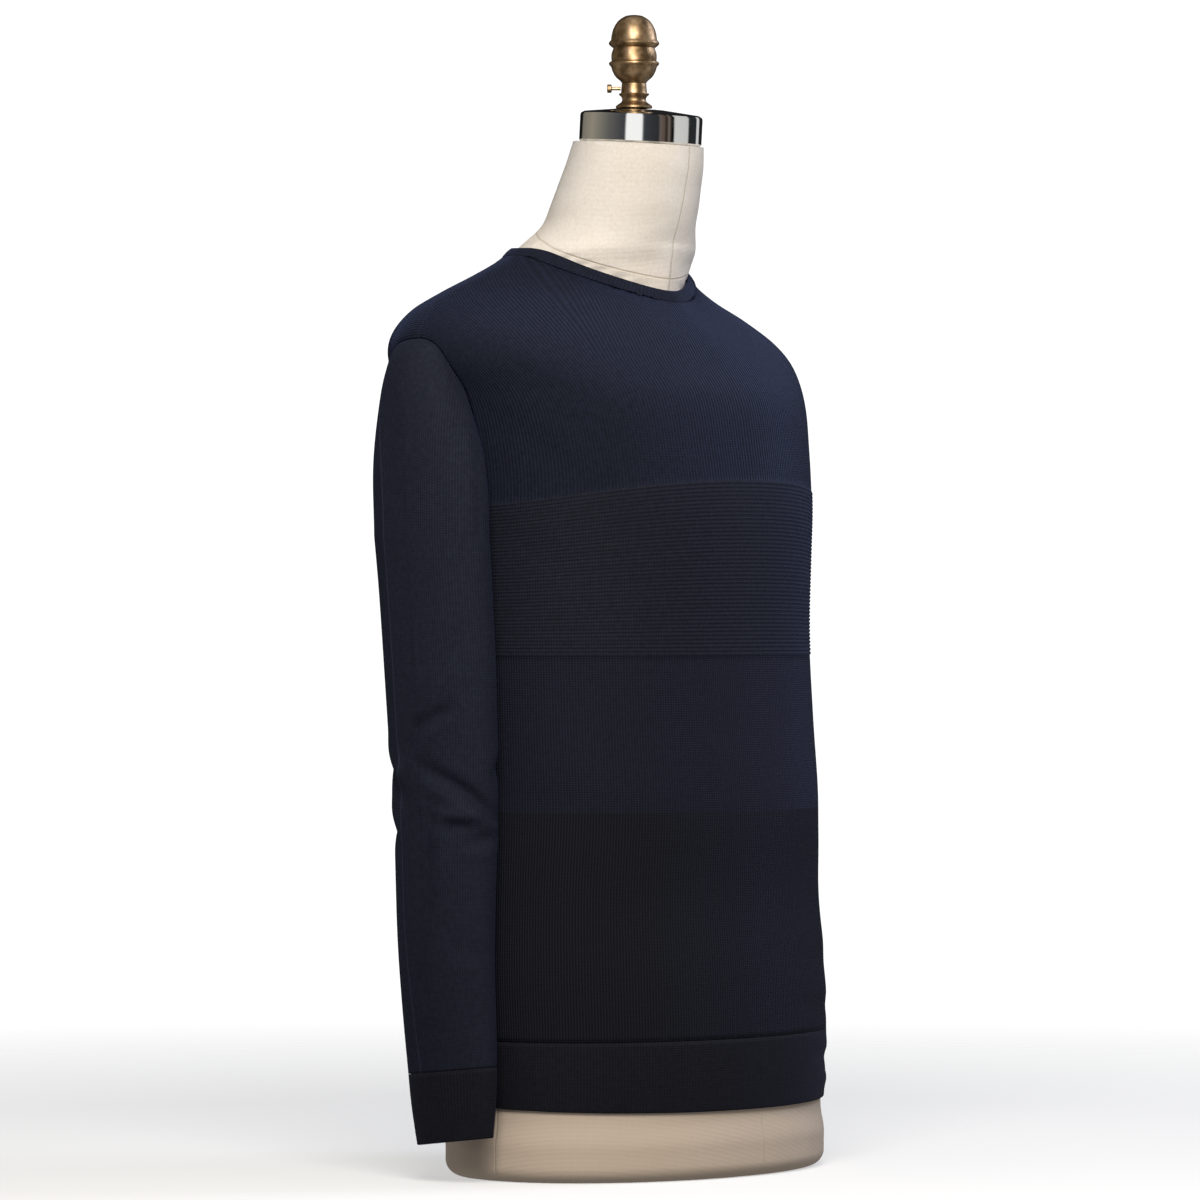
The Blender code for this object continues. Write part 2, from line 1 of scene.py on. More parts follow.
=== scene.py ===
# %% [markdown]
# # A navy crewneck sweater on a dress form
#
# The sweater is fine-gauge wool, knitted to shape in bands: upright ribs over the shoulders, a
# chest band of flat-lying ridges, a plain waist and narrower ribs down to the hem. It hangs on a
# padded canvas form with a chrome cap on its neck and a turned brass finial.
#
# The solid model of the part is already packed. We load it first, because every cloth, form and
# metal piece below takes the place of one of its nodes, in the same metres, with +Z up and the
# form facing -Y. The wearer's right is therefore -X.

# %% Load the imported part
import json
import math
from collections import namedtuple

import bmesh
import bpy
from mathutils import Euler, Matrix, Vector

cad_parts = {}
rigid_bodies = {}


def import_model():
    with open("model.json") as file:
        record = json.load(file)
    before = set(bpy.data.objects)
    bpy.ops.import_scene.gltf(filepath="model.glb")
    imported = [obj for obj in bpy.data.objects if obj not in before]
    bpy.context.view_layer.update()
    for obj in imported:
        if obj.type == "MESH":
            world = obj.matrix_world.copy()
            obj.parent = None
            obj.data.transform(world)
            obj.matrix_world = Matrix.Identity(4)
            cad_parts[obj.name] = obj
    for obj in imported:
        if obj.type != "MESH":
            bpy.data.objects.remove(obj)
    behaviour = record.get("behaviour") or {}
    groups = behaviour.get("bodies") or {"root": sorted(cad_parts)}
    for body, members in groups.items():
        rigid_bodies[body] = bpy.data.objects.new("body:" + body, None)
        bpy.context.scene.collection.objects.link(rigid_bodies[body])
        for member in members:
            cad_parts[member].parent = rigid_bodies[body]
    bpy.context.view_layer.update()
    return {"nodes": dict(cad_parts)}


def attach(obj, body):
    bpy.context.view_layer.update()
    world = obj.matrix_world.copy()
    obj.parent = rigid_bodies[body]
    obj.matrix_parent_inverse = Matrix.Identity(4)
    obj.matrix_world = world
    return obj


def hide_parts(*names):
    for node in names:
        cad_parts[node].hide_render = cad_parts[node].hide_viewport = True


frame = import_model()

print("nodes:", ", ".join(sorted(frame["nodes"])))

# %% [markdown]
# ## The camera
#
# The photograph looks at the form from its right front, level with the chest, from some way off:
# the upright edges hardly converge. A long lens far away gives that. We work the lens out from
# two plain measures, the distance and how many pixels a metre takes at the form's axis, and slide
# the camera sideways a little because the form stands right of the picture's middle.

# %% Place the camera
IMAGE_PIXELS = 1200
SENSOR_MM = 36.0
CAMERA_DISTANCE = 5.8
CAMERA_HEIGHT = 0.4545
CAMERA_TURN = math.radians(51.9)
PIXELS_PER_METRE = 1250.0
AXIS_PIXEL_X = 637.0

screen_right = Vector((math.cos(CAMERA_TURN), -math.sin(CAMERA_TURN), 0))
towards_camera = Vector((-math.sin(CAMERA_TURN), -math.cos(CAMERA_TURN), 0))
slide = (AXIS_PIXEL_X - IMAGE_PIXELS / 2) / PIXELS_PER_METRE

camera_data = bpy.data.cameras.new("camera")
camera_data.sensor_width = SENSOR_MM
camera_data.lens = SENSOR_MM * PIXELS_PER_METRE * CAMERA_DISTANCE / IMAGE_PIXELS
camera_data.clip_end = 100.0
camera = bpy.data.objects.new("camera", camera_data)
camera.location = towards_camera * CAMERA_DISTANCE - screen_right * slide
camera.location.z = CAMERA_HEIGHT
camera.rotation_euler = (math.radians(90), 0, -CAMERA_TURN)
bpy.context.scene.collection.objects.link(camera)
bpy.context.scene.camera = camera
print("lens in mm:", round(camera_data.lens, 1))

# %% [markdown]
# ## One table for the body
#
# The cloth, the hem, the neckband and the form inside all follow the same body. We describe it by
# cross-sections: at each height a half width, a depth in front and behind, and how square the
# outline is. A reader could model it from a cage and a Subdivision Surface, but a table has the
# advantage that every piece can ask it for a point, so seams meet by themselves.

# %% Sections of the body, the neck and the sleeve
Section = namedtuple("Section", "z half_width front back centre_y front_square back_square ease")
# In metres, but for the two squares: 2 makes an ellipse, and more makes it boxier.
BODY_SECTIONS = [
    Section(0.040, 0.1800, 0.1265, 0.1260, 0.0000, 2.05, 2.10, 0.0006),
    Section(0.110, 0.1825, 0.1290, 0.1280, 0.0000, 2.05, 2.10, 0.0006),
    Section(0.160, 0.1825, 0.1305, 0.1255, 0.0024, 2.05, 2.10, 0.0030),
    Section(0.220, 0.1780, 0.1290, 0.1195, 0.0052, 2.05, 2.15, 0.0120),
    Section(0.290, 0.1735, 0.1350, 0.1135, 0.0086, 2.10, 2.20, 0.0220),
    Section(0.360, 0.1715, 0.1335, 0.1110, 0.0119, 2.10, 2.20, 0.0180),
    Section(0.430, 0.1700, 0.1335, 0.1120, 0.0152, 2.10, 2.25, 0.0080),
    Section(0.490, 0.1720, 0.1360, 0.1140, 0.0181, 2.15, 2.30, 0.0020),
    Section(0.530, 0.1745, 0.1365, 0.1170, 0.0200, 2.20, 2.35, 0.0018),
    Section(0.575, 0.1800, 0.1395, 0.1160, 0.0290, 2.25, 2.40, 0.0042),
    Section(0.615, 0.1910, 0.1405, 0.1095, 0.0390, 2.20, 2.45, 0.0050),
    Section(0.643, 0.2085, 0.1300, 0.1005, 0.0480, 2.05, 2.40, 0.0075),
    Section(0.663, 0.2100, 0.1185, 0.0905, 0.0520, 1.80, 2.30, 0.0075),
    Section(0.6825, 0.1930, 0.1040, 0.0760, 0.0550, 1.52, 2.15, 0.0048),
    Section(0.6975, 0.1640, 0.0930, 0.0610, 0.0550, 1.32, 2.05, 0.0032),
    Section(0.7125, 0.1270, 0.0870, 0.0510, 0.0530, 1.30, 2.00, 0.0024),
    Section(0.7250, 0.0995, 0.0830, 0.0460, 0.0500, 1.50, 2.00, 0.0022),
    Section(0.7400, 0.0790, 0.0810, 0.0450, 0.0450, 2.10, 2.00, 0.0020),
]

NECK_TOP = 0.8190
Neck = namedtuple("Neck", "z half_width half_depth centre_y tilt_share")
NECK_SECTIONS = [
    Neck(0.7545, 0.0640, 0.0600, 0.0183, 0.1),
    Neck(0.7705, 0.0612, 0.0580, 0.0122, 0.4),
    Neck(0.7865, 0.0585, 0.0560, 0.0071, 0.7),
    Neck(0.8025, 0.0560, 0.0540, 0.0020, 1.0),
    Neck(NECK_TOP, 0.0535, 0.0515, -0.0015, 1.0),
]

Sleeve = namedtuple("Sleeve", "z centre_x centre_y half_x half_y lift")
SLEEVE_SECTIONS = [
    Sleeve(0.0300, 0.2070, 0.0185, 0.0150, 0.0360, 0.0042),
    Sleeve(0.0900, 0.2070, 0.0215, 0.0195, 0.0418, 0.0042),
    Sleeve(0.1800, 0.2080, 0.0265, 0.0262, 0.0436, 0.0020),
    Sleeve(0.2800, 0.2060, 0.0290, 0.0302, 0.0460, 0.0),
    Sleeve(0.3760, 0.2050, 0.0340, 0.0312, 0.0497, 0.0),
    Sleeve(0.4600, 0.2060, 0.0390, 0.0319, 0.0510, 0.0),
    Sleeve(0.5050, 0.2080, 0.0415, 0.0318, 0.0520, 0.0),
]
print("body sections:", len(BODY_SECTIONS), "sleeve sections:", len(SLEEVE_SECTIONS))

# %% Read a table and find a point of the body


def curve_between(part, start, leave, end, arrive):
    """A smooth curve from start to end that leaves and arrives in two given directions."""
    place = (2 * part ** 3 - 3 * part ** 2 + 1) * start
    place += (part ** 3 - 2 * part ** 2 + part) * leave
    place += (3 * part ** 2 - 2 * part ** 3) * end
    place += (part ** 3 - part ** 2) * arrive
    return place


def table_at(table, z):
    """Read a table of sections at any height, along a smooth curve through its rows."""
    z = min(max(z, table[0].z), table[-1].z)
    row = 0
    while row < len(table) - 2 and z > table[row + 1].z:
        row += 1
    low, high = table[row], table[row + 1]
    before = table[max(row - 1, 0)]
    after = table[min(row + 2, len(table) - 1)]
    span = high.z - low.z
    part = (z - low.z) / span
    values = []
    for index in range(len(low)):
        rise_low = (high[index] - before[index]) / (high.z - before.z) * span
        rise_high = (after[index] - low[index]) / (after.z - low.z) * span
        values.append(curve_between(part, low[index], rise_low, high[index], rise_high))
    return type(low)(*values)


def signed_power(value, power):
    """A power that keeps its value's sign."""
    return math.copysign(abs(value) ** power, value)


def body_point(turn, z):
    """A point of the cloth's outside. Turn is 0 at the right side, pi / 2 in front, pi at the left."""
    section = table_at(BODY_SECTIONS, z)
    in_front = math.sin(turn) >= 0
    square = section.front_square if in_front else section.back_square
    depth = section.front if in_front else section.back
    x = -section.half_width * signed_power(math.cos(turn), 2 / square)
    y = section.centre_y - depth * signed_power(math.sin(turn), 2 / square)
    return Vector((x, y, z))


TURN_STEP = 0.02
HEIGHT_STEP = 0.0015


def body_normal(turn, z):
    across = body_point(turn + TURN_STEP, z) - body_point(turn - TURN_STEP, z)
    along = body_point(turn, z + HEIGHT_STEP) - body_point(turn, z - HEIGHT_STEP)
    return across.cross(along).normalized()


def raised_point(turn, z, height):
    """A point that stands off the cloth's outside, or lies inside it where the height is negative."""
    return body_point(turn, z) + body_normal(turn, z) * height


chest = body_point(math.pi / 2, 0.53)
print("front of the chest in mm:", [round(value * 1000, 1) for value in chest])

# %% [markdown]
# ## Where the knit's columns run
#
# A knitted panel has the same number of columns of stitches at every height. They stand upright
# over the waist, lean outwards along the armhole and lie nearly flat over the shoulder. If the
# grid's columns follow the stitch columns, one texture coordinate is enough to draw the ribs.
# The columns are spread evenly by length and not by angle, so the ribs keep one width.

# %% Lay out a panel
SPREAD_HEIGHT = 0.30
SPREAD_STEPS = 200


def lengths_along(points, measure):
    """How far along a line each of its points lies, by a given measure of a step."""
    lengths = [0.0]
    for first, second in zip(points[:-1], points[1:]):
        lengths.append(lengths[-1] + measure(second - first))
    return lengths


def even_turns(is_back):
    """Turns from 0 to pi round a panel at the waist, and the length of cloth up to each."""
    side = -1 if is_back else 1
    turns = [math.pi * index / SPREAD_STEPS for index in range(SPREAD_STEPS + 1)]
    points = [body_point(side * turn, SPREAD_HEIGHT) for turn in turns]
    return turns, lengths_along(points, lambda step: step.length)


SPREADS = {False: even_turns(False), True: even_turns(True)}


def read_table(table, share):
    """The turn at a share of a table's whole length."""
    turns, lengths = table
    wanted = share * lengths[-1]
    index = 0
    while index < len(turns) - 2 and lengths[index + 1] < wanted:
        index += 1
    part = (wanted - lengths[index]) / (lengths[index + 1] - lengths[index])
    return turns[index] + (turns[index + 1] - turns[index]) * part


def spread_turn(is_back, share):
    """The turn at a share of a panel's width."""
    return read_table(SPREADS[is_back], share)


print("panel widths in mm:", [round(SPREADS[side][1][-1] * 1000) for side in (False, True)])

# %% [markdown]
# ## The neckline, the chest band and the armhole
#
# Three lines shape the top of a panel, each a height or a reach worked out from the turn. The
# neckline is high at the shoulders and dips in front. A power of the cosine alone would meet
# itself in a shallow point there, so a hypotenuse rounds it off. The chest band's top edge bows
# up in the middle, and the armhole sweeps inwards and back out towards the shoulder.

# %% Lines round the neck, the chest and the armhole
BAND_TOP_SIDE = 0.5290
BAND_TOP_BOW = 0.0200
BAND_BOW_POWER = 1.5
SHOULDER_POINT = 0.6590
ARMHOLE_SWEEP = 0.8
ARMHOLE_TOP_POWER = 10
ARMHOLE_FRONT_REACH = 0.0255
ARMHOLE_BACK_REACH = 0.0520
NECK_SEAM_SIDE = 0.7280
NECK_SEAM_FRONT = 0.6845
NECK_SEAM_BACK = 0.7263
NECK_EDGE_SIDE = 0.7345
NECK_EDGE_FRONT = 0.6945
NECK_EDGE_BACK = 0.7395
NECK_CURVE = 1.4
NECK_ROUND = 0.16
SIDEWAYS_SHARE = 0.25


def neck_height(turn, side, front, back):
    """Height of a line round the neck, highest at the shoulders and lowest in front."""
    share = abs(math.cos(turn)) ** NECK_CURVE
    middle = front if math.sin(turn) >= 0 else back
    return middle + (side - middle) * math.hypot(share, NECK_ROUND * math.sin(turn))


def neck_seam(turn):
    return neck_height(turn, NECK_SEAM_SIDE, NECK_SEAM_FRONT, NECK_SEAM_BACK)


def neck_edge(turn):
    return neck_height(turn, NECK_EDGE_SIDE, NECK_EDGE_FRONT, NECK_EDGE_BACK)


def band_top(turn):
    return BAND_TOP_SIDE + BAND_TOP_BOW * abs(math.sin(turn)) ** BAND_BOW_POWER


def armhole_turn(is_back, rise):
    """How far round the body a panel's armhole edge lies, from the underarm at 0 to the top at 1."""
    reach = ARMHOLE_BACK_REACH if is_back else ARMHOLE_FRONT_REACH
    reach *= rise ** ARMHOLE_SWEEP * math.sqrt(1 - rise ** ARMHOLE_TOP_POWER)
    section = table_at(BODY_SECTIONS, BAND_TOP_SIDE + (SHOULDER_POINT - BAND_TOP_SIDE) * rise)
    depth = section.back if is_back else section.front
    square = section.back_square if is_back else section.front_square
    return math.asin((reach / depth) ** (square / 2))


def neck_turns(is_back):
    """Turns along half a neckline and how far across each lies, counted mostly by its X."""
    side = -1 if is_back else 1
    turns = [math.pi / 2 * index / SPREAD_STEPS for index in range(SPREAD_STEPS + 1)]
    points = [body_point(side * turn, neck_seam(side * turn)) for turn in turns]
    return turns, lengths_along(points, lambda step: abs(step.x) + SIDEWAYS_SHARE * abs(step.y))


NECK_TURNS = {False: neck_turns(False), True: neck_turns(True)}
print("depth of the neckline in mm:", round((NECK_SEAM_SIDE - neck_seam(math.pi / 2)) * 1000, 1))

# %% Any place on a panel
SEAM_GAP = 0.0002
HEM_SEAM_HEIGHT = 0.110
BAND_LOW = 0.4105
SHOULDER_SHARE = 0.55
SHOULDER_CURVE = 0.85
UPRIGHT_POWER = 6


def yoke_top(is_back, half):
    """Turn and height of the yoke's top edge: over the shoulder seam, then round the neck."""
    if half <= SHOULDER_SHARE:
        rise = half / SHOULDER_SHARE
        return 0.0, SHOULDER_POINT + (NECK_SEAM_SIDE - SHOULDER_POINT) * rise ** SHOULDER_CURVE
    turn = read_table(NECK_TURNS[is_back], (half - SHOULDER_SHARE) / (1 - SHOULDER_SHARE))
    return turn, neck_seam(-turn if is_back else turn)


def panel_place(is_back, share, up):
    """Turn and height on a panel. Share runs 0 to 1 from side to side.

    Up runs 0 to 1 over the lower body, 1 to 2 over the chest band and 2 to 3 over the yoke.
    """
    turn = spread_turn(is_back, share)
    if up <= 1:
        z = HEM_SEAM_HEIGHT + (BAND_LOW - HEM_SEAM_HEIGHT) * up
    elif up <= 2:
        z = BAND_LOW + (band_top(turn) - BAND_LOW) * (up - 1)
    else:
        rise = up - 2
        side_turn = min(turn, math.pi - turn)
        top_turn, top_z = yoke_top(is_back, min(share, 1 - share) * 2)
        edge = armhole_turn(is_back, rise)
        inner = side_turn + (top_turn - side_turn) * rise ** UPRIGHT_POWER
        half_turn = edge + (1 - edge / (math.pi / 2)) * inner
        start = band_top(side_turn)
        z = start + (top_z - start) * rise
        turn = half_turn if share <= 0.5 else math.pi - half_turn
    return (-turn if is_back else turn), z


def part_from_seam(point, is_back):
    half_gap = SEAM_GAP / 2
    return point + Vector((0, half_gap if is_back else -half_gap, 0))


print("height of the underarm in mm:", round(panel_place(False, 0.0, 2)[1] * 1000, 1))

# %% [markdown]
# ## Grids as cloth
#
# Each cloth piece starts as `bmesh.ops.create_grid`. Every vertex remembers its column and row in
# two integer layers, and a function moves it to its place on the body. A tube is the same grid
# with its first and last columns welded. The wall comes last, from a Solidify modifier.

# %% Helpers for grids
WELD = 0.00001


def new_grid(columns, rows):
    work = bmesh.new()
    bmesh.ops.create_grid(work, x_segments=columns, y_segments=rows, size=1.0)
    column_of = work.verts.layers.int.new("column")
    row_of = work.verts.layers.int.new("row")
    for vert in work.verts:
        vert[column_of] = round((vert.co.x + 1) / 2 * columns)
        vert[row_of] = round((vert.co.y + 1) / 2 * rows)
    return work, column_of, row_of


def shape_grid(columns, rows, place, wales, courses, is_tube):
    """Move a grid's vertices with place(column, row), and count the knit's columns and rows as UVs."""
    work, column_of, row_of = new_grid(columns, rows)
    for vert in work.verts:
        vert.co = place(vert[column_of], vert[row_of])
    knit = work.loops.layers.uv.new("knit")
    for face in work.faces:
        for loop in face.loops:
            column, row = loop.vert[column_of], loop.vert[row_of]
            loop[knit].uv = (wales * column / columns, courses[row])
    if is_tube:
        borders = [vert for vert in work.verts if vert[column_of] in (0, columns)]
        bmesh.ops.remove_doubles(work, verts=borders, dist=WELD)
    return work


print("points closer than this many mm are welded:", WELD * 1000)

# %% From a grid to a piece of cloth
CLOTH_WALL = 0.0016


def turn_outwards(work, axis):
    """Point an open surface's faces away from its axis, a function of height."""
    bmesh.ops.recalc_face_normals(work, faces=work.faces[:])
    outward = 0.0
    for face in work.faces:
        centre = face.calc_center_median()
        away = centre - axis(centre.z)
        away.z = 0.0
        outward += face.normal.dot(away) * face.calc_area()
    if outward < 0:
        bmesh.ops.reverse_faces(work, faces=work.faces[:])


def make_piece(work, name, materials):
    mesh = bpy.data.meshes.new(name)
    work.to_mesh(mesh)
    work.free()
    for material in materials:
        mesh.materials.append(material)
    piece = bpy.data.objects.new(name, mesh)
    bpy.context.scene.collection.objects.link(piece)
    mesh.shade_smooth()
    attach(piece, "root")
    return piece


def give_wall(piece, thickness):
    wall = piece.modifiers.new("wall", "SOLIDIFY")
    wall.thickness = thickness
    wall.offset = -1.0


def flat_area(piece):
    return sum(face.area for face in piece.data.polygons)


print("cloth wall in mm:", CLOTH_WALL * 1000)

# %% [markdown]
# ## Colours and shader nodes
#
# Cloth, canvas and metal colours are given as sRGB hex values, the way a paint chart gives them.
# Blender's shaders work in linear light, so one function converts them. A second function adds a
# node, sets its values and links its inputs, which keeps each material short enough to read.

# %% Helpers for materials


def linear(hex_colour):
    """An sRGB hex value such as 2A2E3C as a linear colour."""
    channels = [int(hex_colour[start:start + 2], 16) / 255 for start in (0, 2, 4)]
    bright = [((c + 0.055) / 1.055) ** 2.4 if c > 0.04045 else c / 12.92 for c in channels]
    return (*bright, 1.0)


def add_node(tree, kind, inputs=None, **settings):
    """Add a node with its settings. An input that is a socket is linked, and any other is set."""
    node = tree.nodes.new(kind)
    for name, value in settings.items():
        setattr(node, name, value)
    for key, value in (inputs or {}).items():
        if isinstance(value, bpy.types.NodeSocket):
            tree.links.new(value, node.inputs[key])
        else:
            node.inputs[key].default_value = value
    return node


def start_material(name, colour, roughness, metallic=0.0):
    material = bpy.data.materials.new(name)
    material.use_nodes = True
    material.diffuse_color = linear(colour)
    tree = material.node_tree
    shader = tree.nodes["Principled BSDF"]
    shader.inputs["Base Color"].default_value = linear(colour)
    shader.inputs["Roughness"].default_value = roughness
    shader.inputs["Metallic"].default_value = metallic
    return material, tree, shader


def set_ramp(ramp_node, stops):
    """Fill a colour ramp from (position, hex colour) pairs."""
    ramp = ramp_node.color_ramp
    while len(ramp.elements) < len(stops):
        ramp.elements.new(0.5)
    for element, (position, colour) in zip(ramp.elements, stops):
        element.position = position
        element.color = linear(colour)


# A Wave texture repeats every pi / 10 units at scale 1
WAVE_PERIOD = math.pi / 10
print("navy in linear light:", [round(value, 4) for value in linear("24283A")[:3]])

# %% [markdown]
# ## Fine wool, knitted
#
# The yarn is worsted merino dyed navy: almost black in shade, with a blue bloom where light grazes
# the loose fibre ends. A Principled shader gives the bloom with its sheen. Ribs and stitches are
# far finer than the mesh, so they are bump: one wave across the stitch columns and a finer one
# along the rows, both counted by the knit UV map. Real stitches are about 1.2 mm wide here. They
# are drawn one to a rib, because anything finer is lost in the render. The sleeve was folded when
# it was pressed, and its fold carries a painted highlight: a paler line along one column of
# stitches.

# %% Knit materials
# Colours in the shade and in the light, bump in metres, and how much painted shade darkens the grooves.
Knit = namedtuple("Knit", "name shade light rib_depth stitch_depth groove sheen")
SLEEVE_WALES = 117
# The column of stitches and the width of the painted highlight along the sleeve's pressed fold.
PRESSED_WALE = 78.4
CREASE_HIGHLIGHT_WIDTH = 0.5
KNITS = {
    "rib": Knit("merino_rib_knit", "0F1118", "1B1F2D", 0.00055, 0.00012, 0.25, 0.12),
    "narrow_rib": Knit("merino_narrow_rib_knit", "101116", "1C1C24", 0.00055, 0.00014, 0.6, 0.05),
    "plain": Knit("merino_plain_jersey", "12121A", "1D1E2A", 0.00030, 0.00016, 0.4, 0.08),
    "ridge": Knit("merino_purl_ridge_knit", "14151B", "1F212B", 0.00014, 0.00014, 0.25, 0.11),
    "sleeve": Knit("merino_sleeve_jersey", "14161F", "212430", 0.00014, 0.00012, 0.25, 0.035),
    "collar": Knit("merino_collar_knit", "0F1118", "1B1F2D", 0.00012, 0.00010, 0.25, 0.09),
    "band": Knit("merino_double_band_knit", "111217", "1C1C23", 0.00014, 0.00012, 0.3, 0.04),
}
# Colour of the painted highlight along the sleeve's pressed fold.
CREASE_HIGHLIGHT_COLOUR = "282B39"
HEATHER_SCALE = 260.0
CLOUD_SCALE = 9.0
CLOUD_SHARE = 0.25
WOOL_ROUGHNESS = 0.82
WOOL_GLOSS = 0.08
BLOOM_COLOUR = "8093DA"
BLOOM_SPREAD = 0.45


def knit_material(kind):
    knit = KNITS[kind]
    material, tree, shader = start_material(knit.name, knit.light, WOOL_ROUGHNESS)
    uv = add_node(tree, "ShaderNodeUVMap", uv_map="knit").outputs["UV"]
    place = add_node(tree, "ShaderNodeTexCoord").outputs["Object"]
    ribs, rows = (add_node(tree, "ShaderNodeTexWave", {"Vector": uv, "Scale": WAVE_PERIOD},
                           bands_direction=direction).outputs["Fac"] for direction in "XY")
    heather = add_node(tree, "ShaderNodeTexNoise",
                       {"Vector": place, "Scale": HEATHER_SCALE, "Detail": 3.0}).outputs["Fac"]
    cloud = add_node(tree, "ShaderNodeTexNoise",
                     {"Vector": place, "Scale": CLOUD_SCALE, "Detail": 2.0}).outputs["Fac"]
    mottle = add_node(tree, "ShaderNodeMix", {0: CLOUD_SHARE, 2: heather, 3: cloud}).outputs[0]
    # Painted shade: the rib wave also darkens the base colour in the grooves between ribs.
    tone = add_node(tree, "ShaderNodeMix", {0: knit.groove, 2: mottle, 3: ribs}).outputs[0]
    ramp = add_node(tree, "ShaderNodeValToRGB", {"Fac": tone})
    set_ramp(ramp, [(0.25, knit.shade), (0.75, knit.light)])
    colour = ramp.outputs["Color"]
    # Painted highlight: a paler line down the column of stitches at the pressed fold.
    if kind == "sleeve":
        wale = add_node(tree, "ShaderNodeSeparateXYZ", {"Vector": uv}).outputs["X"]
        away = add_node(tree, "ShaderNodeMath", {0: wale, 1: PRESSED_WALE, 2: CREASE_HIGHLIGHT_WIDTH},
                        operation="COMPARE").outputs[0]
        colour = add_node(tree, "ShaderNodeMix", {0: away, 6: colour, 7: linear(CREASE_HIGHLIGHT_COLOUR)},
                          data_type="RGBA").outputs[2]
    tree.links.new(colour, shader.inputs["Base Color"])
    stitch_bump = add_node(tree, "ShaderNodeBump", {"Height": rows, "Distance": knit.stitch_depth})
    rib_bump = add_node(tree, "ShaderNodeBump", {"Height": ribs, "Distance": knit.rib_depth,
                                                 "Normal": stitch_bump.outputs["Normal"]})
    tree.links.new(rib_bump.outputs["Normal"], shader.inputs["Normal"])
    shader.inputs["Sheen Weight"].default_value = knit.sheen
    shader.inputs["Sheen Roughness"].default_value = BLOOM_SPREAD
    shader.inputs["Sheen Tint"].default_value = linear(BLOOM_COLOUR)
    shader.inputs["Specular IOR Level"].default_value = WOOL_GLOSS
    return material


knit_materials = {kind: knit_material(kind) for kind in KNITS}
print("knits:", ", ".join(sorted(knit_materials)))

# %% [markdown]
# ## Front and back
#
# Each panel is one piece of knitting from the hem's seam to the shoulder seam. The chest band's
# ridges are rows of purl stitches that stand proud of the cloth, 3.2 mm apart, and they are real
# relief: four rows of the grid make one ridge. A few long, soft hollows are placed where a worn
# sweater has them, below the armholes, across the small of the back and over the hem.

# %% Soft folds on the body
BodyFold = namedtuple("BodyFold", "panel start_turn start_z end_turn end_z width relief")
# Turns are in degrees round the body: 0 at the right side, 90 in front and 180 at the left.
BODY_FOLDS = [
    BodyFold("front", 12, 0.600, 34, 0.545, 0.013, -0.0018),
    BodyFold("front", 168, 0.596, 148, 0.540, 0.013, -0.0017),
    BodyFold("front", 8, 0.505, 30, 0.478, 0.012, -0.0010),
    BodyFold("front", 172, 0.500, 150, 0.470, 0.012, -0.0010),
    BodyFold("front", 108, 0.132, 150, 0.126, 0.007, -0.0010),
    BodyFold("front", 116, 0.090, 172, 0.081, 0.006, -0.0018),
    BodyFold("front", 126, 0.068, 168, 0.073, 0.005, 0.0014),
    BodyFold("front", 100, 0.168, 160, 0.160, 0.012, -0.0008),
    BodyFold("front", 12, 0.300, 50, 0.270, 0.018, -0.0009),
    BodyFold("front", 168, 0.310, 132, 0.276, 0.018, -0.0009),
    BodyFold("back", 14, 0.590, 40, 0.520, 0.015, -0.0022),
    BodyFold("back", 166, 0.586, 138, 0.515, 0.015, -0.0021),
    BodyFold("back", 24, 0.345, 92, 0.318, 0.016, -0.0024),
    BodyFold("back", 160, 0.330, 78, 0.292, 0.017, -0.0022),
    BodyFold("back", 30, 0.262, 120, 0.248, 0.018, -0.0018),
    BodyFold("back", 58, 0.640, 90, 0.655, 0.020, -0.0012),
    BodyFold("back", 122, 0.642, 92, 0.657, 0.020, -0.0012),
]
FOLD_RADIUS = 0.15
BODY_FOLD_REACH = 0.12
FOLD_FADE = 0.12
LIP_SHIFT = 1.5
LIP_SHARE = 0.35


def fold_height(here, start, end, width, relief):
    """A soft trough along a line that fades at both ends, with a low lip on its upper side."""
    along = end - start
    share = min(max((here - start).dot(along) / along.length_squared, 0), 1)
    offset = here - start - along * share
    side = along.x * offset.y - along.y * offset.x
    signed = math.copysign(offset.length, side) / width
    fade = math.sin(math.pi * (FOLD_FADE + (1 - 2 * FOLD_FADE) * share))
    lip = LIP_SHARE * math.exp(-(signed - LIP_SHIFT) ** 2)
    return relief * fade * (math.exp(-signed ** 2) - lip)


def body_fold_height(panel, turn, z):
    here = Vector((abs(turn) * FOLD_RADIUS, z))
    height = 0.0
    for fold in BODY_FOLDS:
        if fold.panel == panel and abs(z - (fold.start_z + fold.end_z) / 2) < BODY_FOLD_REACH:
            start = Vector((math.radians(fold.start_turn) * FOLD_RADIUS, fold.start_z))
            end = Vector((math.radians(fold.end_turn) * FOLD_RADIUS, fold.end_z))
            height += fold_height(here, start, end, fold.width, fold.relief)
    return height


print("folds on the body:", len(BODY_FOLDS))

# %% Build the two panels
PANEL_COLUMNS = 120
LOWER_ROWS = 64
BAND_RIDGES = 44
ROWS_A_RIDGE = 4
YOKE_ROWS = 56
RIDGE_RELIEF = 0.0009
WAIST_START = 0.587
NARROW_RIB_WIDTH = 0.0023
YOKE_RIB_WIDTH = 0.0029
COURSE_HEIGHT = 0.0018


def panel_ups():
    """Levels up a panel. The yoke's crowd together at the top, where the armhole curves fastest."""
    lower = [index / LOWER_ROWS for index in range(LOWER_ROWS)]
    band_rows = BAND_RIDGES * ROWS_A_RIDGE
    band = [1 + index / band_rows for index in range(band_rows)]
    yoke = [2 + math.sin(math.pi / 2 * index / YOKE_ROWS) for index in range(YOKE_ROWS + 1)]
    return lower + band + yoke


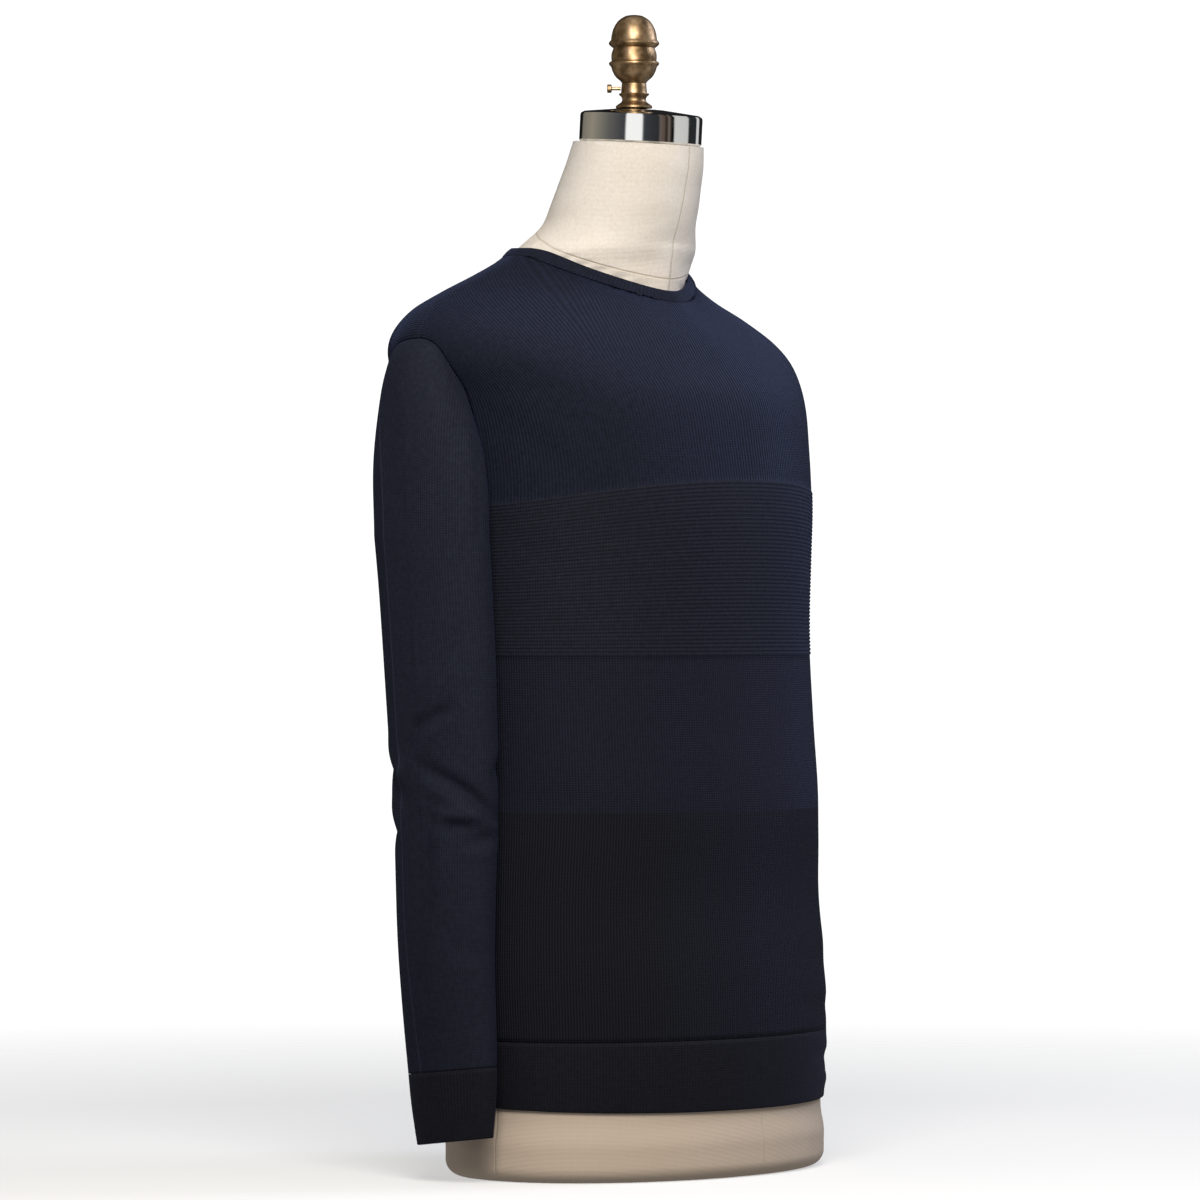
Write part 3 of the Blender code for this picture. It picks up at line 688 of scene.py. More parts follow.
def make_panel(name, is_back):
    ups = panel_ups()
    panel = "back" if is_back else "front"

    def place(column, row):
        up = ups[row]
        turn, z = panel_place(is_back, column / PANEL_COLUMNS, up)
        height = body_fold_height(panel, turn, z)
        if 1 < up < 2 and 0 < column < PANEL_COLUMNS:
            height += RIDGE_RELIEF * abs(math.sin(math.pi * (up - 1) * BAND_RIDGES))
        return part_from_seam(raised_point(turn, z, height), is_back)

    middle = [body_point(*panel_place(is_back, 0.5, up)) for up in ups]
    courses = lengths_along(middle, lambda step: step.length / COURSE_HEIGHT)
    width = SPREADS[is_back][1][-1]
    wales = round(width / NARROW_RIB_WIDTH)
    work = shape_grid(PANEL_COLUMNS, len(ups) - 1, place, wales, courses, is_tube=False)
    row_of = work.verts.layers.int["row"]
    knit = work.loops.layers.uv["knit"]
    for face in work.faces:
        up = ups[min(vert[row_of] for vert in face.verts)]
        face.material_index = (up >= WAIST_START) + (up >= 1) + (up >= 2)
        if up >= 2:
            for loop in face.loops:
                loop[knit].uv.x *= NARROW_RIB_WIDTH / YOKE_RIB_WIDTH
    turn_outwards(work, lambda z: Vector((0, table_at(BODY_SECTIONS, z).centre_y, z)))
    materials = [knit_materials[kind] for kind in ("narrow_rib", "plain", "ridge", "rib")]
    piece = make_piece(work, name, materials)
    give_wall(piece, CLOTH_WALL)
    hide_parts(panel)
    print(name, "ribs at the waist:", wales, "area in m2:", round(flat_area(piece), 4))
    return piece


front_panel = make_panel("knit_front", False)
back_panel = make_panel("knit_back", True)

# %% [markdown]
# ## Sleeves
#
# A set-in sleeve starts at the armhole, swells over the shoulder and hangs down. Every column of
# the grid is a smooth curve from its place on the armhole to its place on the hanging tube. The
# sleeve was pressed flat when it was folded, so a sharp crease runs down its outer side. At the
# elbow the cloth breaks into short diagonal hollows with a raised tongue between them.

# %% Folds of the sleeve
# The sleeve's cap is its rounded top, between the armhole and the hanging tube.
CAP_START_GAP = 0.0005
CAP_SPREAD_SIDE = 0.034
CAP_SPREAD_ROUND = 0.038
CAP_BACK_SHARE = 0.6
CAP_LEAVE_X = 1.2
CAP_LEAVE_Y = 2.0
CAP_LEAVE_Z = 0.25
CAP_ARRIVE = 1.1
SLEEVE_FLATNESS = 0.6
CUFF_SEAM_DROP = 0.0878
CUFF_EDGE_DROP = 0.0325
SLEEVE_HANG_TOP = 0.5050
CREASE_ANGLE = math.radians(205.0)
CREASE_WIDTH = math.radians(15.0)
CREASE_RELIEF = 0.0032
CREASE_LOW = 0.10
CREASE_FADE = 0.10
SLEEVE_FOLD_RADIUS = 0.045
SLEEVE_FOLD_REACH = 0.09

# Angles are in degrees round the sleeve: 0 towards the body, 90 in front, 180 outwards, 270 behind.
SleeveFold = namedtuple("SleeveFold", "start_angle start_z end_angle end_z width relief")
SLEEVE_FOLDS = [
    SleeveFold(202, 0.328, 178, 0.358, 0.0058, -0.0042),
    SleeveFold(180, 0.356, 143, 0.371, 0.0058, -0.0042),
    SleeveFold(174, 0.3235, 80, 0.2845, 0.0066, -0.0062),
    SleeveFold(157, 0.2880, 116, 0.2860, 0.0056, 0.0046),
    SleeveFold(156, 0.2870, 168, 0.2620, 0.0052, 0.0032),
    SleeveFold(150, 0.2680, 168, 0.2240, 0.0068, 0.0028),
    SleeveFold(128, 0.2660, 76, 0.2700, 0.0066, -0.0030),
    SleeveFold(200, 0.300, 262, 0.336, 0.0080, -0.0034),
    SleeveFold(214, 0.262, 268, 0.290, 0.0080, -0.0034),
    SleeveFold(118, 0.530, 92, 0.500, 0.0070, -0.0020),
    SleeveFold(160, 0.405, 118, 0.428, 0.0110, -0.0012),
    SleeveFold(150, 0.190, 96, 0.170, 0.0110, -0.0012),
    SleeveFold(40, 0.330, 88, 0.318, 0.0090, -0.0020),
    SleeveFold(286, 0.405, 330, 0.372, 0.0100, -0.0022),
]
LEFT_FOLD_SHIFT = 0.011
LEFT_FOLD_SHARE = 0.85


def sleeve_ring(z, angle):
    """A point of the hanging sleeve's outside. The lift tips the ring up at the front."""
    section = table_at(SLEEVE_SECTIONS, z)
    x = -section.centre_x + section.half_x * math.cos(angle)
    y = section.centre_y - section.half_y * math.sin(angle)
    return Vector((x, y, z + section.lift * math.sin(angle)))


def sleeve_outward(angle):
    return Vector((math.cos(angle) / SLEEVE_FLATNESS, -math.sin(angle), 0)).normalized()


def sleeve_fold_height(angle, z, is_left):
    turned = (angle - CREASE_ANGLE + math.pi) % (2 * math.pi) - math.pi
    strength = min(max((z - CREASE_LOW) / CREASE_FADE, 0), 1)
    height = CREASE_RELIEF * math.exp(-abs(turned) / CREASE_WIDTH) * strength
    shift = LEFT_FOLD_SHIFT if is_left else 0.0
    share = LEFT_FOLD_SHARE if is_left else 1.0
    here = Vector((angle * SLEEVE_FOLD_RADIUS, z))
    for fold in SLEEVE_FOLDS:
        if abs(z - (fold.start_z + fold.end_z) / 2 - shift) < SLEEVE_FOLD_REACH:
            start = Vector((math.radians(fold.start_angle) * SLEEVE_FOLD_RADIUS, fold.start_z + shift))
            end = Vector((math.radians(fold.end_angle) * SLEEVE_FOLD_RADIUS, fold.end_z + shift))
            height += share * fold_height(here, start, end, fold.width, fold.relief)
    return height


print("folds on a sleeve:", len(SLEEVE_FOLDS))

# %% Build the two sleeves
HALF_COLUMNS = 60
CAP_ROWS = 56
HANG_ROWS = 200
SLEEVE_LENGTH = 0.62


def armhole_place(rise, is_back):
    turn, z = panel_place(is_back, 0.0, 2 + rise)
    return part_from_seam(body_point(turn, z), is_back)


def sleeve_columns():
    """For each column its angle round the sleeve and its place on the armhole."""
    columns = []
    for index in range(2 * HALF_COLUMNS + 1):
        is_back = index > HALF_COLUMNS
        steps = 2 * HALF_COLUMNS - index if is_back else index
        rise = math.sin(math.pi / 2 * steps / HALF_COLUMNS)
        angle = math.pi * rise
        columns.append((2 * math.pi - angle if is_back else angle, armhole_place(rise, is_back)))
    return columns


def cap_place(start, angle, level, hanging):
    """A point of the cap, from the armhole at level 0 to the hanging tube at level 1."""
    path = hanging - start
    leave = Vector((path.x * CAP_LEAVE_X, path.y * CAP_LEAVE_Y, path.z * CAP_LEAVE_Z))
    leave.x -= CAP_SPREAD_SIDE
    leave += sleeve_outward(angle) * CAP_SPREAD_ROUND * (1 - CAP_BACK_SHARE * math.sin(angle))
    begin = start + leave.normalized() * CAP_START_GAP
    arrive = Vector((0, 0, -path.length * CAP_ARRIVE))
    return curve_between(level, begin, leave, hanging, arrive)


def make_sleeve(name, node, is_left):
    columns = sleeve_columns()
    side = -1 if is_left else 1

    def place(column, row):
        angle, start = columns[column]
        if row <= CAP_ROWS:
            z = SLEEVE_HANG_TOP
        else:
            z = SLEEVE_HANG_TOP + (CUFF_SEAM_DROP - SLEEVE_HANG_TOP) * (row - CAP_ROWS) / HANG_ROWS
        point = sleeve_ring(z, angle)
        if row > CAP_ROWS:
            point += sleeve_outward(angle) * sleeve_fold_height(angle, z, is_left)
        else:
            hanging = point + sleeve_outward(angle) * sleeve_fold_height(angle, z, is_left)
            point = cap_place(start, angle, row / CAP_ROWS, hanging)
        return Vector((side * point.x, point.y, point.z))

    rows = CAP_ROWS + HANG_ROWS
    courses = [SLEEVE_LENGTH / COURSE_HEIGHT * row / rows for row in range(rows + 1)]
    work = shape_grid(2 * HALF_COLUMNS, rows, place, SLEEVE_WALES, courses, is_tube=True)

    def axis(z):
        section = table_at(SLEEVE_SECTIONS, z)
        return Vector((-side * section.centre_x, section.centre_y, z))

    turn_outwards(work, axis)
    piece = make_piece(work, name, [knit_materials["sleeve"]])
    give_wall(piece, CLOTH_WALL)
    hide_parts(node)
    print(name, "area in m2:", round(flat_area(piece), 4))
    return piece


right_sleeve = make_sleeve("knit_sleeve_right", "sleeve_right", False)
left_sleeve = make_sleeve("knit_sleeve_left", "sleeve_left", True)

# %% [markdown]
# ## Neckband, hem and cuffs
#
# These are knitted double and folded over, so their free edges are round and a little thicker
# than the body. Each is a section, drawn down the outside, round the edge and up the inside to a
# thin seam allowance behind the panel, and swept along its line on the body. The grid's rows go
# round the section here.

# %% A band's section, swept along a line
BAND_WALL = 0.0022
OUTSIDE_ROWS = 14
EDGE_ROWS = 8
INSIDE_ROWS = 5
BAND_FULLNESS = 0.0005
SEAM_ALLOWANCE = 0.005
FLANGE_THICKNESS = 0.0004
Band = namedtuple("Band", "columns wales height")


def band_section(height):
    """(share of the height, depth) round a band's section, from its seam round the free edge."""
    radius = BAND_WALL / 2
    round_share = radius / height
    section = []
    for index in range(OUTSIDE_ROWS):
        share = index / OUTSIDE_ROWS
        section.append((share * (1 - round_share), BAND_FULLNESS * math.sin(math.pi * share)))
    for index in range(EDGE_ROWS + 1):
        angle = math.pi * index / EDGE_ROWS
        section.append((1 - round_share * (1 - math.sin(angle)), -radius * (1 - math.cos(angle))))
    for index in range(1, INSIDE_ROWS + 1):
        section.append(((1 - round_share) * (1 - index / INSIDE_ROWS), -BAND_WALL))
    allowance = -SEAM_ALLOWANCE / height
    section.append((allowance, -BAND_WALL))
    section.append((allowance, FLANGE_THICKNESS - BAND_WALL))
    section.append((0.0, FLANGE_THICKNESS - BAND_WALL))
    return section


def make_band(name, node, band, line_point, is_ring, kind="band"):
    """A band whose points come from line_point(column share, share of the height, depth)."""
    section = band_section(band.height)

    def place(column, row):
        share, depth = section[row % len(section)]
        return line_point(column / band.columns, share, depth)

    courses = [row * band.height / OUTSIDE_ROWS / COURSE_HEIGHT for row in range(len(section) + 1)]
    work = shape_grid(band.columns, len(section), place, band.wales, courses, is_tube=is_ring)
    bmesh.ops.remove_doubles(work, verts=work.verts[:], dist=WELD)
    if not is_ring:
        open_edges = [edge for edge in work.edges if edge.is_boundary]
        bmesh.ops.holes_fill(work, edges=open_edges, sides=0)
    bmesh.ops.recalc_face_normals(work, faces=work.faces[:])
    piece = make_piece(work, name, [knit_materials[kind]])
    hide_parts(node)
    print(name, "wall area in m2:", round(flat_area(piece) / 2, 4))
    return piece


print("radius of a band's folded edge in mm:", BAND_WALL / 2 * 1000)

# %% The lines that the bands follow
HEM_EDGE_SIDE = 0.0575
HEM_EDGE_DIP = 0.0040
NECKBAND_PROUD = 0.0004


def neckband_point(share, up, depth):
    turn = 2 * math.pi * share
    low = neck_seam(turn) + SEAM_GAP
    z = low + (neck_edge(turn) - low) * up
    return raised_point(turn, z, NECKBAND_PROUD + depth)


def hem_point(is_back):
    def point_at(share, down, depth):
        turn = spread_turn(is_back, share) * (-1 if is_back else 1)
        low = HEM_EDGE_SIDE - HEM_EDGE_DIP * abs(math.sin(turn))
        z = HEM_SEAM_HEIGHT - SEAM_GAP - (HEM_SEAM_HEIGHT - SEAM_GAP - low) * down
        ripple = body_fold_height("back" if is_back else "front", turn, z)
        return part_from_seam(raised_point(turn, z, depth + ripple), is_back)
    return point_at


def cuff_point(is_left):
    top = CUFF_SEAM_DROP - SEAM_GAP

    def point_at(share, down, depth):
        angle = 2 * math.pi * share
        z = top - (top - CUFF_EDGE_DROP) * down
        point = sleeve_ring(z, angle) + sleeve_outward(angle) * depth
        return Vector((-point.x, point.y, point.z)) if is_left else point
    return point_at


print("hem's lowest point in mm:", round((HEM_EDGE_SIDE - HEM_EDGE_DIP) * 1000, 1))

# %% Sew on the bands
NECKBAND = Band(192, 240, 0.011)
HEM = Band(128, 200, HEM_SEAM_HEIGHT - HEM_EDGE_SIDE)
CUFF = Band(96, 84, CUFF_SEAM_DROP - CUFF_EDGE_DROP)
neckband = make_band("knit_neckband", "neckband", NECKBAND, neckband_point, True, "collar")
for panel, is_back in (("front", False), ("back", True)):
    hem = make_band("knit_hem_" + panel, "hem_" + panel, HEM, hem_point(is_back), False)
for side, is_left in (("right", False), ("left", True)):
    cuff = make_band("knit_cuff_" + side, "cuff_" + side, CUFF, cuff_point(is_left), True)

# %% [markdown]
# ## Canvas
#
# The form's cover is natural cotton-linen canvas, drawn tight and matt with age. Its threads are
# about 0.7 mm apart, drawn 1.0 mm here so that they show. The cover is sewn from long panels: a
# seam runs down the front, the back and each side, where it ends below the waist, and one more
# rings the foot of the neck. The seams follow the object's own axes, so the shader can find them
# from Object coordinates. The cloth is painted darker and browner towards the base, as painted
# shade for the light that falls off lower down. The cloth is a little browner towards the base, as
# handled canvas is.

# %% Canvas material
CANVAS_THREAD = 0.0010
THREAD_WANDER = 0.6
STAIN_SCALE = 14.0
SLUB_SCALE = 420.0
SLUB_SHARE = 0.4
WEAVE_DEPTH = 0.0002
SEAM_DEPTH = 0.0004
SEAM_WIDTH = 0.0011
NECK_SEAM_HEIGHT = 0.7240
NECK_SEAM_SLOPE = 0.42
SIDE_SEAM_TOP = 0.3
# Painted shade darkens the canvas from the base up to this height.
PAINTED_SHADE_TOP = 0.75


def canvas_material():
    material, tree, shader = start_material("natural_canvas", "E8DDCF", 0.88)
    place = add_node(tree, "ShaderNodeTexCoord").outputs["Object"]
    axes = add_node(tree, "ShaderNodeSeparateXYZ", {"Vector": place})
    uv = add_node(tree, "ShaderNodeUVMap", uv_map="canvas").outputs["UV"]
    scale = WAVE_PERIOD / CANVAS_THREAD
    thread = {"Vector": uv, "Scale": scale, "Distortion": THREAD_WANDER, "Detail Scale": 2.0}
    warp, weft = (add_node(tree, "ShaderNodeTexWave", thread, bands_direction=direction).outputs["Fac"]
                  for direction in "XY")
    weave = add_node(tree, "ShaderNodeMath", {0: warp, 1: weft}, operation="MULTIPLY").outputs[0]
    stains = add_node(tree, "ShaderNodeTexNoise",
                      {"Vector": place, "Scale": STAIN_SCALE, "Detail": 5.0}).outputs["Fac"]
    slubs = add_node(tree, "ShaderNodeTexNoise",
                     {"Vector": place, "Scale": SLUB_SCALE, "Detail": 2.0}).outputs["Fac"]
    mottle = add_node(tree, "ShaderNodeMix", {0: SLUB_SHARE, 2: stains, 3: slubs}).outputs[0]
    ramp = add_node(tree, "ShaderNodeValToRGB", {"Fac": mottle})
    set_ramp(ramp, [(0.30, "D5CABC"), (0.62, "E6DFD6")])

    slope = add_node(tree, "ShaderNodeMath",
                     {0: axes.outputs["Y"], 1: NECK_SEAM_SLOPE, 2: NECK_SEAM_HEIGHT},
                     operation="MULTIPLY_ADD").outputs[0]
    ring = add_node(tree, "ShaderNodeMath", {0: axes.outputs["Z"], 1: slope},
                    operation="SUBTRACT").outputs[0]
    above = add_node(tree, "ShaderNodeMapRange", {"Value": axes.outputs["Z"], "From Min": SIDE_SEAM_TOP,
                                                  "From Max": SIDE_SEAM_TOP * 2}).outputs["Result"]
    side = add_node(tree, "ShaderNodeMath", {0: axes.outputs["Y"]}, operation="ABSOLUTE").outputs[0]
    side = add_node(tree, "ShaderNodeMath", {0: side, 1: above}, operation="ADD").outputs[0]
    nearest = side
    for distance in (axes.outputs["X"], ring):
        away = add_node(tree, "ShaderNodeMath", {0: distance}, operation="ABSOLUTE").outputs[0]
        nearest = add_node(tree, "ShaderNodeMath", {0: nearest, 1: away},
                           operation="MINIMUM").outputs[0]
    seam = add_node(tree, "ShaderNodeMapRange", {"Value": nearest, "From Min": 0.0,
                                                 "From Max": SEAM_WIDTH}).outputs["Result"]
    # Painted shade: the canvas is mixed towards a darker, browner colour down to the base.
    painted_base_shade = add_node(tree, "ShaderNodeMapRange", {"Value": axes.outputs["Z"], "From Min": 0.0,
                                                 "From Max": PAINTED_SHADE_TOP}).outputs["Result"]
    cloth = add_node(tree, "ShaderNodeMix", {0: painted_base_shade, 6: linear("CBB8A5"), 7: ramp.outputs["Color"]},
                     data_type="RGBA").outputs[2]
    shaded = add_node(tree, "ShaderNodeMix", {0: seam, 6: linear("C9BBA8"), 7: cloth},
                      data_type="RGBA").outputs[2]
    tree.links.new(shaded, shader.inputs["Base Color"])
    weave_bump = add_node(tree, "ShaderNodeBump", {"Height": weave, "Distance": WEAVE_DEPTH})
    seam_bump = add_node(tree, "ShaderNodeBump", {"Height": seam, "Distance": SEAM_DEPTH,
                                                  "Normal": weave_bump.outputs["Normal"]})
    tree.links.new(seam_bump.outputs["Normal"], shader.inputs["Normal"])
    shader.inputs["Sheen Weight"].default_value = 0.1
    shader.inputs["Specular IOR Level"].default_value = 0.2
    return material


canvas = canvas_material()
print("canvas threads to the inch:", round(0.0254 / CANVAS_THREAD))

# %% [markdown]
# ## The form
#
# The torso is the cloth's own surface drawn in, and the neck is a stack of tipped ellipses. We
# list rings up the form and run a smooth curve through each column of them, so the shoulder
# flows into the neck without a step. The padding swells a little just above the neckband, most
# at the neck's two front corners. The base turns under with a quarter round.

# %% Rings up the form
# The form leaves this much room for the cloth, a little more than the cloth's wall.
CLOTH_ROOM = 0.0018
HIP_HEIGHT = 0.040
BASE_TOP = 0.030
BASE_FLARE = 0.0030
BASE_EDGE_RADIUS = 0.012
BASE_EDGE_STEPS = 8
BASE_MIDDLE = 0.020
NECK_TILT = math.radians(3.6)
FORM_COLUMNS = 160
CORNER_FILL = 0.19
THROAT_FILL = 0.006
THROAT_POWER = 8
TORSO_LEVELS = [
    0.048, 0.080, 0.110, 0.160, 0.220, 0.290, 0.360, 0.430, 0.490, 0.530, 0.565, 0.600, 0.630,
    0.650, 0.665, 0.678, 0.690, 0.700, 0.705, 0.710, 0.715, 0.720, 0.725, 0.730, 0.735, 0.740,
]


def base_rings():
    """(height, inset) up the base: a quarter round, then straight."""
    angles = [math.pi / 2 * index / BASE_EDGE_STEPS for index in range(BASE_EDGE_STEPS + 1)]
    rings = [(BASE_EDGE_RADIUS * (1 - math.cos(angle)), BASE_EDGE_RADIUS * (1 - math.sin(angle)))
             for angle in angles]
    return rings + [(BASE_MIDDLE, 0.0), (BASE_TOP, 0.0)]


def neck_fill(turn, z):
    """How far the padding swells above the neckband, most at the neck's two front corners."""
    edge = neck_edge(turn)
    bare = NECK_SECTIONS[0].z - edge
    if math.sin(turn) < 0 or z <= edge:
        return 0.0
    rise = (z - edge) / bare
    corners = CORNER_FILL * bare * math.sin(2 * turn) ** 2 * math.sin(math.pi * math.sqrt(rise))
    return corners + THROAT_FILL * math.sin(turn) ** THROAT_POWER * math.sin(math.pi * rise)


def form_rings():
    turns = [2 * math.pi * index / FORM_COLUMNS for index in range(FORM_COLUMNS + 1)]
    ease = table_at(BODY_SECTIONS, HIP_HEIGHT).ease
    rings = []
    for z, inset in base_rings():
        drawn_in = BASE_FLARE - CLOTH_ROOM - ease - inset
        ring = [raised_point(turn, HIP_HEIGHT, drawn_in) for turn in turns]
        rings.append([Vector((point.x, point.y, z)) for point in ring])
    for z in TORSO_LEVELS:
        drawn_in = CLOTH_ROOM + table_at(BODY_SECTIONS, z).ease
        rings.append([raised_point(turn, z, neck_fill(turn, z) - drawn_in) for turn in turns])
    for neck in NECK_SECTIONS:
        ring = []
        for turn in turns:
            y = -neck.half_depth * math.sin(turn)
            lift = y * math.tan(NECK_TILT) * neck.tilt_share
            ring.append(Vector((-neck.half_width * math.cos(turn), neck.centre_y + y, neck.z + lift)))
        rings.append(ring)
    return rings


print("rings up the form:", len(form_rings()))

# %% Skin the rings with canvas
STEPS_A_RING = 5
FORM_GIRTH = 0.98
FORM_SHARP_ANGLE = math.radians(60)


def curve_through(points, steps):
    """Points of a smooth curve through a list, with steps between each pair."""
    smooth = []
    for index in range(len(points) - 1):
        before = points[max(index - 1, 0)]
        low, high = points[index], points[index + 1]
        after = points[min(index + 2, len(points) - 1)]
        span = (high - low).length
        rise_low = (high - before) * (span / max((high - before).length, WELD))
        rise_high = (after - low) * (span / max((after - low).length, WELD))
        for step in range(steps):
            smooth.append(curve_between(step / steps, low, rise_low, high, rise_high))
    smooth.append(points[-1].copy())
    return smooth


def make_form():
    rings = form_rings()
    lines = [curve_through([ring[column] for ring in rings], STEPS_A_RING)
             for column in range(FORM_COLUMNS + 1)]
    rows = len(lines[0]) - 1
    work, column_of, row_of = new_grid(FORM_COLUMNS, rows)
    for vert in work.verts:
        vert.co = lines[vert[column_of]][vert[row_of]]
    woven = work.loops.layers.uv.new("canvas")
    for face in work.faces:
        for loop in face.loops:
            loop[woven].uv = (FORM_GIRTH * loop.vert[column_of] / FORM_COLUMNS, loop.vert.co.z)
    bmesh.ops.remove_doubles(work, verts=work.verts[:], dist=WELD)
    bmesh.ops.holes_fill(work, edges=[edge for edge in work.edges if edge.is_boundary], sides=0)
    bmesh.ops.recalc_face_normals(work, faces=work.faces[:])
    piece = make_piece(work, "canvas_form", [canvas])
    piece.data.set_sharp_from_angle(angle=FORM_SHARP_ANGLE)
    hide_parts("form_body")
    print("form rows:", rows)


make_form()

# %% [markdown]
# ## Chrome cap and brass finial
#
# The neck ends in a spun steel cap, chromed: nearly black and white at once, because it mirrors
# the room. The finial is turned brass that has been handled for years, brown in the grooves and
# bright on the beads. Both are lathe work, so a profile spun round an axis is what they are.

# %% Metal materials
SMEAR_SCALE = 40.0
TARNISH_SCALE = 120.0
TURNING_MARK = 0.0009
TURNING_DEPTH = 0.00006


def chrome_material():
    material, tree, shader = start_material("chrome_plated_steel", "F2F2F0", 0.06, 1.0)
    place = add_node(tree, "ShaderNodeTexCoord").outputs["Object"]
    smears = add_node(tree, "ShaderNodeTexNoise",
                      {"Vector": place, "Scale": SMEAR_SCALE, "Detail": 4.0}).outputs["Fac"]
    rough = add_node(tree, "ShaderNodeMapRange", {"Value": smears, "To Min": 0.03, "To Max": 0.13})
    tree.links.new(rough.outputs["Result"], shader.inputs["Roughness"])
    return material


def brass_material():
    material, tree, shader = start_material("handled_turned_brass", "A5875B", 0.38, 1.0)
    place = add_node(tree, "ShaderNodeTexCoord").outputs["Object"]
    tarnish = add_node(tree, "ShaderNodeTexNoise",
                       {"Vector": place, "Scale": TARNISH_SCALE, "Detail": 6.0}).outputs["Fac"]
    turning = add_node(tree, "ShaderNodeTexWave",
                       {"Vector": place, "Scale": WAVE_PERIOD / TURNING_MARK, "Distortion": 1.5},
                       bands_direction="Z")
    ramp = add_node(tree, "ShaderNodeValToRGB", {"Fac": tarnish})
    set_ramp(ramp, [(0.30, "5F4B33"), (0.52, "997F5E"), (0.72, "BFA284")])
    tree.links.new(ramp.outputs["Color"], shader.inputs["Base Color"])
    rough = add_node(tree, "ShaderNodeMapRange", {"Value": tarnish, "To Min": 0.5, "To Max": 0.3})
    tree.links.new(rough.outputs["Result"], shader.inputs["Roughness"])
    bump = add_node(tree, "ShaderNodeBump", {"Height": turning.outputs["Fac"], "Distance": TURNING_DEPTH})
    tree.links.new(bump.outputs["Normal"], shader.inputs["Normal"])
    return material


chrome = chrome_material()
brass = brass_material()
print("metals:", chrome.name, brass.name)

# %% Lathe helper and the cap
CAP_RADIUS = 0.0490
CAP_HEIGHT = 0.0243
CAP_EDGE = 0.0015
CAP_CROWN = 0.0032
CAP_CROWN_RADIUS = 0.018
CAP_CENTRE_Y = -0.0032
LATHE_STEPS = 96
TURNED_SHARP_ANGLE = math.radians(32)


def spin_profile(name, profile, material):
    """A closed turned solid about Z from (height, radius) pairs, top to bottom."""
    work = bmesh.new()
    points = [(0.0, profile[0][0])] + [(radius, height) for height, radius in profile]
    points.append((0.0, profile[-1][0]))
    verts = [work.verts.new((radius, 0, height)) for radius, height in points]
    edges = [work.edges.new(pair) for pair in zip(verts[:-1], verts[1:])]
    bmesh.ops.spin(work, geom=verts + edges, cent=(0, 0, 0), axis=(0, 0, 1), dvec=(0, 0, 0),
                   angle=2 * math.pi, steps=LATHE_STEPS, use_merge=True)
    bmesh.ops.remove_doubles(work, verts=work.verts[:], dist=WELD)
    bmesh.ops.recalc_face_normals(work, faces=work.faces[:])
    piece = make_piece(work, name, [material])
    piece.data.set_sharp_from_angle(angle=TURNED_SHARP_ANGLE)
    return piece


def set_in_place(piece, turn, place):
    """Turn and move a piece's mesh, and leave its object at the origin."""
    piece.data.transform(Matrix.LocRotScale(place, turn, None))


def make_cap():
    profile = [
        (CAP_HEIGHT + CAP_CROWN, CAP_CROWN_RADIUS),
        (CAP_HEIGHT, CAP_RADIUS - CAP_EDGE * 2),
        (CAP_HEIGHT - CAP_EDGE, CAP_RADIUS - CAP_EDGE / 3),
        (CAP_HEIGHT - CAP_EDGE * 2, CAP_RADIUS),
        (CAP_EDGE, CAP_RADIUS),
        (0.0, CAP_RADIUS - CAP_EDGE),
    ]
    piece = spin_profile("chrome_cap", profile, chrome)
    tilt = Euler((NECK_TILT, 0, 0)).to_quaternion()
    set_in_place(piece, tilt, Vector((0, CAP_CENTRE_Y, NECK_TOP + SEAM_GAP)))
    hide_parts("neck_cap")
    return piece


chrome_cap = make_cap()
print("cap faces:", len(chrome_cap.data.polygons))

# %% [markdown]
# ## The finial's three pieces
#
# A stem with a flange stands on the cap, and a small screw clamps its collar. The knob above it
# is two beads. Profiles are listed as height above the foot and radius, from the top down, as a
# turner would mark them off on the blank.

# %% Turn the finial
FINIAL_Y = 0.0030
FINIAL_LIFT = 0.0048
SCREW_HEIGHT = 0.0156
SCREW_DIRECTION = Vector((-0.617, 0.787, 0))
COLLAR_RADIUS = 0.0104
THREAD_RADIUS = 0.0014
KNOB_PROFILE = [
    (0.0744, 0.0032), (0.0738, 0.0066), (0.0720, 0.0100), (0.0696, 0.0130), (0.0664, 0.0152),
    (0.0626, 0.0170), (0.0584, 0.0180), (0.0545, 0.0185), (0.0538, 0.0190), (0.0528, 0.0200),
    (0.0518, 0.0203), (0.0508, 0.0200), (0.0499, 0.0191), (0.0492, 0.0183), (0.0480, 0.0166),
    (0.0466, 0.0170), (0.0446, 0.0178), (0.0424, 0.0182), (0.0400, 0.0182), (0.0376, 0.0179),
    (0.0371, 0.0190), (0.0364, 0.0200), (0.0358, 0.0202), (0.0348, 0.0200), (0.0338, 0.0191),
    (0.0328, 0.0183), (0.0298, 0.0174), (0.0264, 0.0158), (0.0242, 0.0140), (0.0224, 0.0118),
    (0.0210, 0.0104), (0.0200, 0.0098),
]
STEM_PROFILE = [
    (0.0197, 0.0098), (0.0160, 0.0101), (0.0120, 0.0104), (0.0117, 0.0118), (0.0112, 0.0122),
    (0.0104, 0.0118), (0.0090, 0.0102), (0.0075, 0.0096), (0.0062, 0.0096), (0.0050, 0.0101),
    (0.0040, 0.0112), (0.0034, 0.0122), (0.0024, 0.0136), (0.0016, 0.0146), (0.0, 0.0146),
]
SCREW_PROFILE = [
    (0.0110, 0.0027), (0.0105, 0.0034), (0.0078, 0.0034), (0.0073, 0.0027),
    (0.0072, THREAD_RADIUS), (0.0, THREAD_RADIUS),
]
foot = Vector((0, FINIAL_Y, NECK_TOP + CAP_HEIGHT + FINIAL_LIFT))
upright = Euler((0, 0, 0)).to_quaternion()
outward = Vector((0, 0, 1)).rotation_difference(SCREW_DIRECTION)
screw_place = foot + Vector((0, 0, SCREW_HEIGHT)) + SCREW_DIRECTION * (COLLAR_RADIUS + SEAM_GAP)
